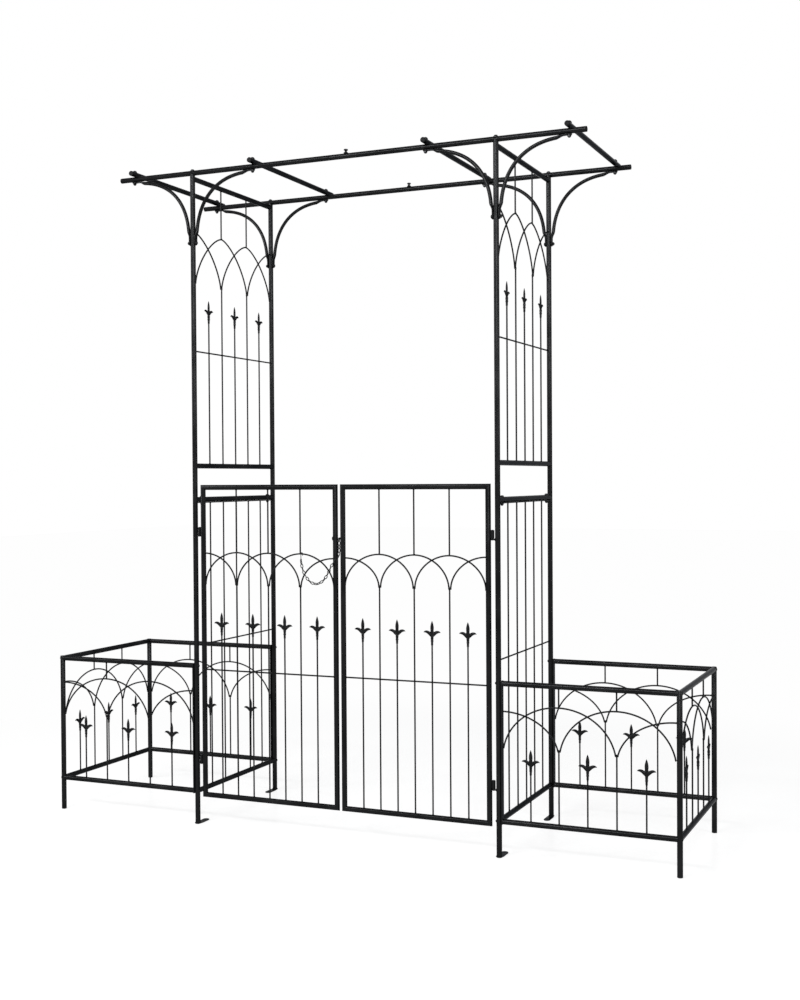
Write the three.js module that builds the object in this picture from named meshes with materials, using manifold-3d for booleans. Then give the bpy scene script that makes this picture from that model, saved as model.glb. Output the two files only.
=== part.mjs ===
// Garden arch with a double gate and a planter frame on each side.
// Millimetres, +Z up. +X runs to the right along the gate, +Y to the back.
// The origin lies on the floor, midway between the four main posts.

import * as THREE from "three";
import { mergeVertices } from "three/addons/utils/BufferGeometryUtils.js";
import Module from "manifold-3d";

// Main frame
const tubeDiameter = 16;
const tubeWall = 1.2;
const postSpacingX = 1008;
const postSpacingY = 502;
const spigotLength = 40;
const boreSpareDepth = 6;
const slipClearance = 0.3;
const seatGap = 0.3;
const cutOverrun = 2;
const openEndDepth = 45;

// Foot lugs
const lugThickness = 3;
const lugWidth = 20;
const lugReach = 50;
const lugHoleDiameter = 9;
const lugHoleEdge = 12;

// Roof
const beamHeight = 2050;
const beamHalfLength = 769;
const crossTubeFrontOverhang = 20;
const crossTubeBackOverhang = 44;
const bracketReach = 216;
const bracketDrop = 224;
const bracketDiameter = 11;
const bracketTabThickness = 3;
const bracketTabWidth = 17;
const bracketTabLength = 28;
const bracketTabBelowBolt = 8;
const bracketTaperLength = 18;
const bracketRoundness = 2.4;

// Thumb screws of the two beam joints
const screwOffsetFront = 31;
const screwOffsetBack = 21;
const screwShankDiameter = 5;
const screwHoleClearance = 0.6;
const screwBaseDiameter = 14;
const screwNeckDiameter = 6;
const screwHeadDiameter = 12.5;
const screwBaseHeight = 6;
const screwHeadRise = 8;
const screwHeadThickness = 4;
const screwDepth = 12;
const screwSpareDepth = 1;

// Wires and spears
const wireDiameter = 4.4;
const arcLayerOffset = 1.5;
const crossWireOffset = 2.5;
const legOverlap = 3;
const lowArcRoundness = 1.9;
const spearRise = 30;
const spearDrop = 39;
const spearHalfWidth = 24;
const spearThickness = 6;
const spearSocketDepth = 9;

// Side panels between a front and a back post
const sideDivisions = 6;
const sideBottomHeight = 104;
const sideRailHeight = 1025;
const sideWireShare = 0.5;
const sideStripThickness = 3;
const sideStripWidth = 16;
const upperPanelGap = 106;
const upperPanelDrop = 17;
const sideArcRoundness = 1.5;

// Planters
const planterDepthX = 518;
const planterDivisions = 6;
const planterBottomHeight = 104;
const planterTopHeight = 500;
const planterStrapThickness = 4;
const planterStrapWidth = 16;

// Gate leaves
const gateDivisions = 8;
const gateBottomHeight = 95;
const gateTopHeight = 1063;
const leafGap = 9;
const weldDepth = 1;

// Hinges
const pinReach = 16;
const pinDiameter = 6;
const pinClearance = 0.4;
const barrelDiameter = 11;
const barrelHeight = 24;
const barrelWeld = 0.6;
const pinTipHeight = 1;
const pinArmDiameter = 5;
const lowerHingeHeight = 208;
const upperHingeDrop = 137;

// Gate chain, its bolt and its hook
const linkWire = 1.8;
const linkWidth = 8;
const linkCount = 25;
const linkBite = 0.35;
const chainBoltDrop = 155;
const chainBoltDiameter = 3.4;
const chainBoltHole = 4.2;
const chainBoltHeadDiameter = 13;
const chainBoltHeadHeight = 3;
const chainNutDiameter = 7.5;
const chainNutThickness = 1.8;
const chainNutInset = 1.3;
const hookWire = 2.4;
const hookBendRadius = 5.5;
const hookLegLength = 15;
const hookTipLength = 4;
const hookEyeRadius = 3.4;
const hookOffset = 5;
const bowTwist = Math.PI / 4;

// Facets
const tubeSides = 12;
const wireSides = 4;
const arcSides = 5;
const linkSides = 4;
const linkSteps = 8;
const hookSides = 4;
const arcSteps = 8;
const halfArcSteps = 4;
const nutSides = 6;
const bracketSides = 8;
const bracketSteps = 6;
const curveSteps = 200;
const hookSteps = 6;
const routeSteps = 4000;
const spacingTries = 30;
const lugSteps = 6;

// Heights inside a panel, as shares of the height between its two rails.
const upperShares = { wire: 0.4, crown: 0.549, foot: 0.6375, peak: 0.818, edgePeaks: [0.818, 0.818] };
const planterShares = { crown: 0.444, foot: 0.5455, peak: 0.841, edgePeaks: [0.798, 0.798] };
const gateShares = { wire: 0.409, crown: 0.56, foot: 0.685, peak: 0.79, edgePeaks: [0.777, 0.787] };

// Derived sizes
const tubeRadius = tubeDiameter / 2;
const boreRadius = tubeRadius - tubeWall;
const wireRadius = wireDiameter / 2;
const postX = postSpacingX / 2;
const postY = postSpacingY / 2;
const legX = postX + planterDepthX;
const clearanceRadius = tubeRadius + seatGap;
const pinX = postX - pinReach;
const barrelRadius = barrelDiameter / 2;
const pinRadius = pinDiameter / 2;
const pinArmRadius = pinArmDiameter / 2;
const hingeStileX = pinX - barrelRadius - tubeRadius + barrelWeld;
const latchStileX = leafGap / 2 + tubeRadius;
const crossTubeHeight = beamHeight + tubeDiameter + seatGap;
const bracketRadius = bracketDiameter / 2;
const outerBracketX = postX + bracketReach;
const innerBracketX = postX - bracketReach;
const postJointHeight = sideRailHeight + upperPanelGap / 2;
const upperBottomHeight = sideRailHeight + upperPanelGap;
const upperTopHeight = beamHeight - upperPanelDrop;
const upperHingeHeight = gateTopHeight - upperHingeDrop;
const chainBoltHeight = gateTopHeight - chainBoltDrop;
const gatePeakHeight = gateBottomHeight + gateShares.peak * (gateTopHeight - gateBottomHeight);

// Where the arcs lie in the depth of a panel, in turns front and back.
const arcFront = -arcLayerOffset;
const arcBack = arcLayerOffset;

const axisY = new THREE.Vector3(0, 1, 0);

const coatedSteel = { color: 0x17191b, roughness: 0.46, metalness: 0.35 };
const zincSteel = { color: 0x26282a, roughness: 0.4, metalness: 0.6 };

const wasm = await Module();
wasm.setup();

function point(x, y, z) {
  return new THREE.Vector3(x, y, z);
}

// A closed three.js geometry as a solid that can be joined and cut.
function solidOf(geometry) {
  const bare = geometry.clone();
  bare.deleteAttribute("normal");
  bare.deleteAttribute("uv");
  const merged = mergeVertices(bare);
  const vertProperties = new Float32Array(merged.attributes.position.array);
  const triVerts = new Uint32Array(merged.index.array);
  return new wasm.Manifold(new wasm.Mesh({ numProp: 3, vertProperties, triVerts }));
}

function joined(solids) {
  return solids.reduce((whole, next) => whole.add(next));
}

// A solid as a three.js geometry with flat facets.
function geometryOf(solid) {
  const mesh = solid.getMesh();
  const geometry = new THREE.BufferGeometry();
  const count = mesh.vertProperties.length / mesh.numProp;
  const positions = new Float32Array(count * 3);
  for (let i = 0; i < count; i += 1) {
    for (let k = 0; k < 3; k += 1) {
      positions[i * 3 + k] = mesh.vertProperties[i * mesh.numProp + k];
    }
  }
  geometry.setAttribute("position", new THREE.BufferAttribute(positions, 3));
  geometry.setIndex(new THREE.BufferAttribute(new Uint32Array(mesh.triVerts), 1));
  geometry.computeVertexNormals();
  return geometry;
}

function rod(start, end, radius, sides = tubeSides) {
  const span = end.clone().sub(start);
  const middle = start.clone().addScaledVector(span, 0.5);
  const geometry = new THREE.CylinderGeometry(radius, radius, span.length(), sides);
  const turn = new THREE.Quaternion().setFromUnitVectors(axisY, span.normalize());
  geometry.applyQuaternion(turn);
  geometry.translate(middle.x, middle.y, middle.z);
  return solidOf(geometry);
}

function wire(start, end) {
  return rod(start, end, wireRadius, wireSides);
}

function disc(radius, sides) {
  const outline = [];
  for (let i = 0; i < sides; i += 1) {
    const angle = (2 * Math.PI * (i + 0.5)) / sides;
    outline.push(new THREE.Vector2(radius * Math.cos(angle), radius * Math.sin(angle)));
  }
  return new THREE.Shape(outline);
}

function swept(path, radius, sides, steps) {
  const options = { steps, extrudePath: path, bevelEnabled: false };
  return solidOf(new THREE.ExtrudeGeometry(disc(radius, sides), options));
}

function plate(shape, depth, place) {
  const geometry = new THREE.ExtrudeGeometry(shape, { depth, bevelEnabled: false });
  geometry.applyMatrix4(place);
  return solidOf(geometry);
}

function box(sizeX, sizeY, sizeZ, centre) {
  const geometry = new THREE.BoxGeometry(sizeX, sizeY, sizeZ);
  geometry.translate(centre.x, centre.y, centre.z);
  return solidOf(geometry);
}

function lathe(profile, sides) {
  const geometry = new THREE.LatheGeometry(profile, sides);
  geometry.rotateX(Math.PI / 2);
  return solidOf(geometry);
}

// One arc of bent wire in the XZ plane: a round head on two steep legs.
// Roundness 2 is half an ellipse, and a smaller one makes the head more pointed.
class ArcCurve extends THREE.Curve {
  constructor(centreX, layerY, footZ, peakZ, leftReach, rightReach, roundness) {
    super();
    Object.assign(this, { centreX, layerY, footZ, peakZ, leftReach, rightReach, roundness });
    this.arcLengthDivisions = curveSteps;
  }

  getPoint(t, target = new THREE.Vector3()) {
    const whole = this.leftReach > 0 && this.rightReach > 0;
    const begin = this.leftReach > 0 ? Math.PI : Math.PI / 2;
    const sweep = whole ? Math.PI : Math.PI / 2;
    const angle = begin - t * sweep;
    const power = 2 / this.roundness;
    const side = Math.cos(angle);
    const reach = side < 0 ? this.leftReach : this.rightReach;
    const across = Math.sign(side) * reach * Math.abs(side) ** power;
    const height = (this.peakZ - this.footZ) * Math.abs(Math.sin(angle)) ** power;
    return target.set(this.centreX + across, this.layerY, this.footZ + height);
  }
}

function arc(centreX, layerY, footZ, peakZ, leftReach, rightReach, roundness) {
  const curve = new ArcCurve(centreX, layerY, footZ, peakZ, leftReach, rightReach, roundness);
  const whole = leftReach > 0 && rightReach > 0;
  return swept(curve, wireRadius, arcSides, whole ? arcSteps : halfArcSteps);
}

// Half of a spear head's outline, from its tip down to its socket.
const spearHalfShares = [
  [0.0, 1.0],
  [0.22, 0.4],
  [0.25, 0.05],
  [0.75, 0.1],
  [1.0, -0.03],
  [0.6, -0.15],
  [0.22, -0.55],
  [0.1, -1.3],
];

function spearHead(x, crownHeight) {
  const right = spearHalfShares.map(([across, up]) => {
    return new THREE.Vector2(across * spearHalfWidth, up * spearRise);
  });
  const left = right
    .slice(1)
    .reverse()
    .map((p) => new THREE.Vector2(-p.x, p.y));
  const shape = new THREE.Shape([...right, ...left]);
  const place = new THREE.Matrix4().makeRotationX(Math.PI / 2);
  place.setPosition(x, spearThickness / 2, crownHeight);
  return plate(shape, spearThickness, place);
}

function spear(x, bottomZ, crownHeight) {
  const shaftTop = crownHeight - spearDrop + spearSocketDepth;
  return [wire(point(x, 0, bottomZ), point(x, 0, shaftTop)), spearHead(x, crownHeight)];
}

// Wires, arcs and spears of a panel whose clear width is centred on x = 0.
function archedWires({ clearWidth, divisions, bottomZ, topZ, shares, roundness, welded }) {
  const levelAt = (share) => bottomZ + share * (topZ - bottomZ);
  const footZ = levelAt(shares.foot);
  const peakZ = levelAt(shares.peak);
  const [lowEdgeZ, highEdgeZ] = shares.edgePeaks.map(levelAt);
  const pitch = clearWidth / divisions;
  const legSeat = wireRadius + seatGap;
  const edgeX = clearWidth / 2;
  const edgeSeat = welded ? weldDepth : legSeat;
  const edgeStart = welded ? -weldDepth : seatGap;
  const span = 2 * pitch;
  const solids = [];
  let layer = arcFront;
  for (let i = 1; i < divisions; i += 1) {
    const x = -edgeX + i * pitch;
    if (i % 2 === 1) {
      solids.push(...spear(x, bottomZ, levelAt(shares.crown)));
      continue;
    }
    solids.push(wire(point(x, 0, bottomZ), point(x, 0, footZ + legOverlap)));
    solids.push(wire(point(x, 0, peakZ), point(x, 0, topZ)));
    const left = span - (i === 2 ? edgeSeat : legSeat);
    const right = span - (i === divisions - 2 ? edgeSeat : legSeat);
    solids.push(arc(x, layer, footZ, peakZ, left, right, roundness));
    layer = -layer;
  }
  const halfSpan = span - legSeat - edgeStart;
  const lowEdge = -edgeX + edgeStart;
  const highEdge = edgeX - edgeStart;
  solids.push(arc(lowEdge, arcBack, footZ, lowEdgeZ, 0, halfSpan, roundness));
  solids.push(arc(highEdge, layer, footZ, highEdgeZ, halfSpan, 0, roundness));
  return solids;
}

function crossWire(clearWidth, height, inset) {
  const reach = clearWidth / 2 - inset;
  return wire(point(-reach, crossWireOffset, height), point(reach, crossWireOffset, height));
}

function rail(clearWidth, height) {
  const reach = clearWidth / 2 + tubeRadius;
  return rod(point(-reach, 0, height), point(reach, 0, height), tubeRadius);
}

// Cuts the ends of a panel's rails round the upright at x.
function copedAt(solid, x, bottomZ, topZ) {
  const low = point(x, 0, bottomZ - tubeDiameter);
  const high = point(x, 0, topZ + tubeDiameter);
  return solid.subtract(rod(low, high, clearanceRadius));
}

// Parts of the scene
const garden_arch = new THREE.Group();
garden_arch.name = "garden_arch";

function addNode(parent, name, solid, finish, place = [0, 0, 0], turnZ = 0) {
  const material = new THREE.MeshStandardMaterial(finish);
  const mesh = new THREE.Mesh(geometryOf(solid), material);
  mesh.name = name;
  mesh.position.set(...place);
  mesh.rotation.z = turnZ;
  parent.add(mesh);
  return mesh;
}

const sideNames = [
  ["left", -1],
  ["right", 1],
];
const depthNames = [
  ["front", -1],
  ["back", 1],
];

// Main posts, each in two lengths that slip together
function footLug(inward) {
  const shape = new THREE.Shape();
  const half = lugWidth / 2;
  const far = tubeRadius + lugReach;
  shape.moveTo(-half, 0);
  shape.lineTo(half, 0);
  shape.lineTo(half, far - half);
  shape.absarc(0, far - half, half, 0, Math.PI, false);
  shape.closePath();
  const hole = new THREE.Path();
  hole.absarc(0, far - lugHoleEdge, lugHoleDiameter / 2, 0, 2 * Math.PI, true);
  shape.holes.push(hole);
  const options = { depth: lugThickness, bevelEnabled: false, curveSegments: lugSteps };
  const geometry = new THREE.ExtrudeGeometry(shape, options);
  geometry.rotateZ(inward > 0 ? 0 : Math.PI);
  return solidOf(geometry);
}

function lowerPost(inward) {
  const top = point(0, 0, postJointHeight);
  const boreTop = point(0, 0, postJointHeight + cutOverrun);
  const boreBottom = point(0, 0, postJointHeight - spigotLength - boreSpareDepth);
  const tube = rod(point(0, 0, 0), top, tubeRadius);
  return tube.subtract(rod(boreBottom, boreTop, boreRadius)).add(footLug(inward));
}

function upperPost() {
  const shoulder = point(0, 0, postJointHeight + seatGap);
  const tube = rod(shoulder, point(0, 0, beamHeight), tubeRadius);
  const spigotEnd = point(0, 0, postJointHeight - spigotLength);
  const spigotTop = point(0, 0, postJointHeight + spigotLength);
  const spigot = rod(spigotEnd, spigotTop, boreRadius - slipClearance);
  const saddleStart = point(-tubeDiameter, 0, beamHeight);
  const saddleEnd = point(tubeDiameter, 0, beamHeight);
  return tube.add(spigot).subtract(rod(saddleStart, saddleEnd, clearanceRadius));
}

for (const [depthName, depth] of depthNames) {
  for (const [sideName, side] of sideNames) {
    const place = [side * postX, depth * postY, 0];
    addNode(garden_arch, `post_lower_${depthName}_${sideName}`, lowerPost(-depth), coatedSteel, place);
    addNode(garden_arch, `post_upper_${depthName}_${sideName}`, upperPost(), coatedSteel, place);
  }
}

// Side panels
const sideClearWidth = postSpacingY - tubeDiameter;
const stripBottomZ = sideRailHeight - tubeRadius - seatGap - sideStripThickness;

function lowerSideGrille() {
  const solids = [rail(sideClearWidth, sideBottomHeight)];
  const wireZ = sideBottomHeight + sideWireShare * (sideRailHeight - sideBottomHeight);
  solids.push(crossWire(sideClearWidth, wireZ, seatGap));
  for (let i = 1; i < sideDivisions; i += 1) {
    const x = -sideClearWidth / 2 + (i * sideClearWidth) / sideDivisions;
    const top = stripBottomZ + sideStripThickness / 2;
    solids.push(wire(point(x, 0, sideBottomHeight), point(x, 0, top)));
  }
  const stripMiddle = point(0, 0, stripBottomZ + sideStripThickness / 2);
  const stripLength = sideClearWidth + tubeDiameter;
  solids.push(box(stripLength, sideStripWidth, sideStripThickness, stripMiddle));
  const whole = joined(solids);
  const left = copedAt(whole, -postY, sideBottomHeight, sideRailHeight);
  return copedAt(left, postY, sideBottomHeight, sideRailHeight);
}

function sideRail() {
  const whole = rail(sideClearWidth, sideRailHeight);
  const left = copedAt(whole, -postY, sideRailHeight, sideRailHeight);
  return copedAt(left, postY, sideRailHeight, sideRailHeight);
}

function upperSideGrille() {
  const solids = archedWires({
    clearWidth: sideClearWidth,
    divisions: sideDivisions,
    bottomZ: upperBottomHeight,
    topZ: upperTopHeight,
    shares: upperShares,
    roundness: sideArcRoundness,
    welded: false,
  });
  const wireZ = upperBottomHeight + upperShares.wire * (upperTopHeight - upperBottomHeight);
  solids.push(crossWire(sideClearWidth, wireZ, seatGap));
  solids.push(rail(sideClearWidth, upperBottomHeight));
  solids.push(rail(sideClearWidth, upperTopHeight));
  const whole = joined(solids);
  const left = copedAt(whole, -postY, upperBottomHeight, upperTopHeight);
  return copedAt(left, postY, upperBottomHeight, upperTopHeight);
}

for (const [sideName, side] of sideNames) {
  const place = [side * postX, 0, 0];
  const turn = (side * Math.PI) / 2;
  addNode(garden_arch, `side_grille_lower_${sideName}`, lowerSideGrille(), coatedSteel, place, turn);
  addNode(garden_arch, `side_rail_${sideName}`, sideRail(), coatedSteel, place, turn);
  addNode(garden_arch, `side_grille_upper_${sideName}`, upperSideGrille(), coatedSteel, place, turn);
}

// Roof beams, each in two halves that slip together beside the thumb screw
const screwHoleRadius = (screwShankDiameter + screwHoleClearance) / 2;

function screwHole(offset) {
  const bottomZ = beamHeight + tubeRadius - screwDepth - screwSpareDepth;
  const low = point(offset, 0, bottomZ);
  const high = point(offset, 0, beamHeight + tubeDiameter);
  return rod(low, high, screwHoleRadius, bracketSides);
}

function beamHalf(side, offset) {
  const inner = point(side > 0 ? seatGap : 0, 0, beamHeight);
  const outer = point(side * beamHalfLength, 0, beamHeight);
  const past = point(side * (beamHalfLength + cutOverrun), 0, beamHeight);
  const openFrom = point(side * (beamHalfLength - openEndDepth), 0, beamHeight);
  const tube = rod(inner, outer, tubeRadius).subtract(rod(openFrom, past, boreRadius));
  if (side > 0) {
    const boreStart = point(-cutOverrun, 0, beamHeight);
    const boreEnd = point(spigotLength + boreSpareDepth, 0, beamHeight);
    return tube.subtract(rod(boreStart, boreEnd, boreRadius)).subtract(screwHole(offset));
  }
  const spigotStart = point(-spigotLength, 0, beamHeight);
  const spigotEnd = point(spigotLength, 0, beamHeight);
  const spigot = rod(spigotStart, spigotEnd, boreRadius - slipClearance);
  return tube.add(spigot).subtract(screwHole(offset));
}

function thumbScrew() {
  const base = beamHeight + tubeRadius + seatGap;
  const neck = base + screwBaseHeight;
  const head = base + screwHeadRise;
  const top = head + screwHeadThickness;
  const tip = beamHeight + tubeRadius - screwDepth;
  const profile = [
    new THREE.Vector2(0, tip),
    new THREE.Vector2(screwShankDiameter / 2, tip),
    new THREE.Vector2(screwShankDiameter / 2, base),
    new THREE.Vector2(screwBaseDiameter / 2, base),
    new THREE.Vector2(screwNeckDiameter / 2, neck),
    new THREE.Vector2(screwNeckDiameter / 2, head),
    new THREE.Vector2(screwHeadDiameter / 2, head),
    new THREE.Vector2(screwHeadDiameter / 2, top),
    new THREE.Vector2(0, top),
  ];
  return lathe(profile, tubeSides);
}

for (const [depthName, depth] of depthNames) {
  const screwOffset = depth < 0 ? screwOffsetFront : screwOffsetBack;
  for (const [sideName, side] of sideNames) {
    const place = [0, depth * postY, 0];
    const half = beamHalf(side, screwOffset);
    addNode(garden_arch, `beam_${depthName}_${sideName}`, half, coatedSteel, place);
  }
  const place = [screwOffset, depth * postY, 0];
  addNode(garden_arch, `thumb_screw_${depthName}`, thumbScrew(), zincSteel, place);
}

// Cross tubes on top of the beams, above the bracket ends
function crossTube() {
  const frontY = -postY - crossTubeFrontOverhang;
  const backY = postY + crossTubeBackOverhang;
  const tube = rod(point(0, frontY, 0), point(0, backY, 0), tubeRadius);
  const frontBore = [point(0, frontY - cutOverrun, 0), point(0, frontY + openEndDepth, 0)];
  const backBore = [point(0, backY - openEndDepth, 0), point(0, backY + cutOverrun, 0)];
  return tube.subtract(rod(...frontBore, boreRadius)).subtract(rod(...backBore, boreRadius));
}

for (const [sideName, side] of sideNames) {
  const innerPlace = [side * innerBracketX, 0, crossTubeHeight];
  const outerPlace = [side * outerBracketX, 0, crossTubeHeight];
  addNode(garden_arch, `cross_tube_inner_${sideName}`, crossTube(), coatedSteel, innerPlace);
  addNode(garden_arch, `cross_tube_outer_${sideName}`, crossTube(), coatedSteel, outerPlace);
}

// Curved brackets: a tube flattened at both ends, from the post to the beam
const bracketStart = clearanceRadius + bracketRadius;

class BracketCurve extends THREE.Curve {
  getPoint(t, target = new THREE.Vector3()) {
    const angle = Math.PI - (t * Math.PI) / 2;
    const power = 2 / bracketRoundness;
    const across = (bracketReach - bracketStart) * (1 - Math.abs(Math.cos(angle)) ** power);
    const up = (bracketDrop - bracketStart) * Math.abs(Math.sin(angle)) ** power;
    return target.set(bracketStart + across, 0, up - bracketDrop);
  }
}

function bracketRings() {
  const curve = new BracketCurve();
  curve.arcLengthDivisions = curveSteps;
  const bend = curve.getLength();
  const straight = bracketTabBelowBolt;
  const total = bend + 2 * straight;
  const tabStops = [0, bracketTabLength, bracketTabLength + bracketTaperLength];
  const farStops = tabStops.map((stop) => total - stop).reverse();
  const first = tabStops[2];
  const last = farStops[0];
  const middleStops = [];
  for (let i = 1; i < bracketSteps; i += 1) {
    middleStops.push(first + ((last - first) * i) / bracketSteps);
  }
  return [...tabStops, ...middleStops, ...farStops].map((stop) => {
    const fromEnd = Math.min(stop, total - stop);
    const opened = Math.min(Math.max((fromEnd - bracketTabLength) / bracketTaperLength, 0), 1);
    const along = Math.min(Math.max((stop - straight) / bend, 0), 1);
    const place = curve.getPointAt(along);
    const tangent = curve.getTangentAt(along);
    const x = place.x + Math.max(stop - (total - straight), 0);
    const z = place.z + Math.min(stop - straight, 0);
    const normal = new THREE.Vector2(-tangent.z, tangent.x);
    return { x, z, normal, opened };
  });
}

function bracket(direction) {
  const positions = [];
  const rings = bracketRings();
  for (const { x, z, normal, opened } of rings) {
    const tab = bracketTabThickness / 2;
    const thick = tab + (bracketRadius - tab) * opened;
    const wide = bracketTabWidth / 2 + (bracketRadius - bracketTabWidth / 2) * opened;
    const shift = bracketRadius - thick;
    for (let k = 0; k < bracketSides; k += 1) {
      const angle = (2 * Math.PI * (k + 0.5)) / bracketSides;
      const out = shift + (thick * Math.cos(angle)) / Math.cos(Math.PI / bracketSides);
      const across = (wide * Math.sin(angle)) / Math.cos(Math.PI / bracketSides);
      positions.push(direction * (x + normal.x * out), across, z + normal.y * out);
    }
  }
  const indices = [];
  const quad = (a, b, c, d) => {
    if (direction < 0) {
      indices.push(a, b, c, a, c, d);
    } else {
      indices.push(a, c, b, a, d, c);
    }
  };
  for (let r = 0; r < rings.length - 1; r += 1) {
    for (let k = 0; k < bracketSides; k += 1) {
      const next = (k + 1) % bracketSides;
      const low = r * bracketSides;
      const high = low + bracketSides;
      quad(low + k, low + next, high + next, high + k);
    }
  }
  const lastRing = (rings.length - 1) * bracketSides;
  for (let k = 1; k < bracketSides - 1; k += 1) {
    const nearCap = direction < 0 ? [0, k + 1, k] : [0, k, k + 1];
    const farCap = direction < 0 ? [0, k, k + 1] : [0, k + 1, k];
    indices.push(...nearCap);
    indices.push(...farCap.map((v) => v + lastRing));
  }
  const geometry = new THREE.BufferGeometry();
  geometry.setAttribute("position", new THREE.Float32BufferAttribute(positions, 3));
  geometry.setIndex(indices);
  return solidOf(geometry);
}

for (const [depthName, depth] of depthNames) {
  for (const [sideName, side] of sideNames) {
    const place = [side * postX, depth * postY, beamHeight];
    const inner = bracket(-side);
    const outer = bracket(side);
    addNode(garden_arch, `bracket_inner_${depthName}_${sideName}`, inner, coatedSteel, place);
    addNode(garden_arch, `bracket_outer_${depthName}_${sideName}`, outer, coatedSteel, place);
  }
}

// Planters: outer legs, end panels, and front and back panels
const planterTopZ = planterTopHeight + tubeRadius;
const strapOuter = clearanceRadius + planterStrapThickness;
const planterClearWidth = planterDepthX - strapOuter - tubeRadius;
const planterCentre = (strapOuter + planterDepthX - tubeRadius) / 2;

function planterWires(clearWidth) {
  return archedWires({
    clearWidth,
    divisions: planterDivisions,
    bottomZ: planterBottomHeight,
    topZ: planterTopHeight,
    shares: planterShares,
    roundness: lowArcRoundness,
    welded: false,
  });
}

function planterLeg() {
  const tube = rod(point(0, 0, 0), point(0, 0, planterTopZ), tubeRadius);
  return tube.subtract(rod(point(0, 0, -cutOverrun), point(0, 0, openEndDepth), boreRadius));
}

function planterEnd() {
  const solids = planterWires(sideClearWidth);
  solids.push(rail(sideClearWidth, planterBottomHeight));
  solids.push(rail(sideClearWidth, planterTopHeight));
  const left = copedAt(joined(solids), -postY, planterBottomHeight, planterTopHeight);
  return copedAt(left, postY, planterBottomHeight, planterTopHeight);
}

// The strap side of this panel is at low x, where it meets the main post.
function planterLong() {
  const solids = planterWires(planterClearWidth);
  const railStart = -planterClearWidth / 2 - planterStrapThickness / 2;
  const railEnd = planterClearWidth / 2 - seatGap;
  for (const height of [planterBottomHeight, planterTopHeight]) {
    solids.push(rod(point(railStart, 0, height), point(railEnd, 0, height), tubeRadius));
  }
  const strapHeight = planterTopHeight - planterBottomHeight + tubeDiameter;
  const strapMiddle = (planterTopHeight + planterBottomHeight) / 2;
  const strapX = -planterClearWidth / 2 - planterStrapThickness / 2;
  const strapCentre = point(strapX, 0, strapMiddle);
  solids.push(box(planterStrapThickness, planterStrapWidth, strapHeight, strapCentre));
  return joined(solids);
}

for (const [sideName, side] of sideNames) {
  for (const [depthName, depth] of depthNames) {
    const legPlace = [side * legX, depth * postY, 0];
    const panelPlace = [side * (postX + planterCentre), depth * postY, 0];
    const turn = side > 0 ? 0 : Math.PI;
    addNode(garden_arch, `planter_leg_${depthName}_${sideName}`, planterLeg(), coatedSteel, legPlace);
    addNode(garden_arch, `planter_${depthName}_${sideName}`, planterLong(), coatedSteel, panelPlace, turn);
  }
  const endPlace = [side * legX, 0, 0];
  addNode(garden_arch, `planter_end_${sideName}`, planterEnd(), coatedSteel, endPlace, (side * Math.PI) / 2);
}

// Gate leaves, drawn for the right side: hinge stile at high x
const leafClearWidth = hingeStileX - latchStileX - tubeDiameter;
const leafCentre = (hingeStileX + latchStileX) / 2;

// A frame of one round tube with mitred corners.
function mitredFrame(lowX, highX, lowZ, highZ) {
  const corners = [
    [lowX, lowZ, -1, -1],
    [highX, lowZ, 1, -1],
    [highX, highZ, 1, 1],
    [lowX, highZ, -1, 1],
  ];
  const positions = [];
  for (const [x, z, outX, outZ] of corners) {
    for (let k = 0; k < tubeSides; k += 1) {
      const angle = (2 * Math.PI * k) / tubeSides;
      const out = tubeRadius * Math.cos(angle);
      positions.push(x + outX * out, tubeRadius * Math.sin(angle), z + outZ * out);
    }
  }
  const indices = [];
  for (let c = 0; c < corners.length; c += 1) {
    const near = c * tubeSides;
    const far = ((c + 1) % corners.length) * tubeSides;
    for (let k = 0; k < tubeSides; k += 1) {
      const next = (k + 1) % tubeSides;
      indices.push(near + k, near + next, far + next, near + k, far + next, far + k);
    }
  }
  const geometry = new THREE.BufferGeometry();
  geometry.setAttribute("position", new THREE.Float32BufferAttribute(positions, 3));
  geometry.setIndex(indices);
  return solidOf(geometry);
}

function gateLeaf() {
  const lowX = latchStileX - leafCentre;
  const highX = hingeStileX - leafCentre;
  const solids = [mitredFrame(lowX, highX, gateBottomHeight, gateTopHeight)];
  solids.push(
    ...archedWires({
      clearWidth: leafClearWidth,
      divisions: gateDivisions,
      bottomZ: gateBottomHeight,
      topZ: gateTopHeight,
      shares: gateShares,
      roundness: lowArcRoundness,
      welded: true,
    }),
  );
  const wireZ = gateBottomHeight + gateShares.wire * (gateTopHeight - gateBottomHeight);
  solids.push(crossWire(leafClearWidth, wireZ, -weldDepth));
  let leaf = joined(solids);
  const barrelX = pinX - leafCentre;
  for (const height of [lowerHingeHeight, upperHingeHeight]) {
    const low = height - barrelHeight / 2;
    const high = height + barrelHeight / 2;
    leaf = leaf.add(rod(point(barrelX, 0, low), point(barrelX, 0, high), barrelRadius));
    const boreLow = point(barrelX, 0, low - cutOverrun);
    const boreHigh = point(barrelX, 0, high + cutOverrun);
    leaf = leaf.subtract(rod(boreLow, boreHigh, pinRadius + pinClearance));
  }
  return leaf;
}

function chainBoltCut() {
  const low = point(latchStileX - tubeDiameter, 0, chainBoltHeight);
  const high = point(latchStileX + tubeDiameter, 0, chainBoltHeight);
  return rod(low, high, chainBoltHole / 2, bracketSides);
}

const leafPlaceRight = [leafCentre, -postY, 0];
const leafPlaceLeft = [-leafCentre, -postY, 0];
const leafBoltCut = chainBoltCut().translate([-leafCentre, 0, 0]);
addNode(garden_arch, "gate_leaf_right", gateLeaf(), coatedSteel, leafPlaceRight);
addNode(garden_arch, "gate_leaf_left", gateLeaf().subtract(leafBoltCut), coatedSteel, leafPlaceLeft, Math.PI);

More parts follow.
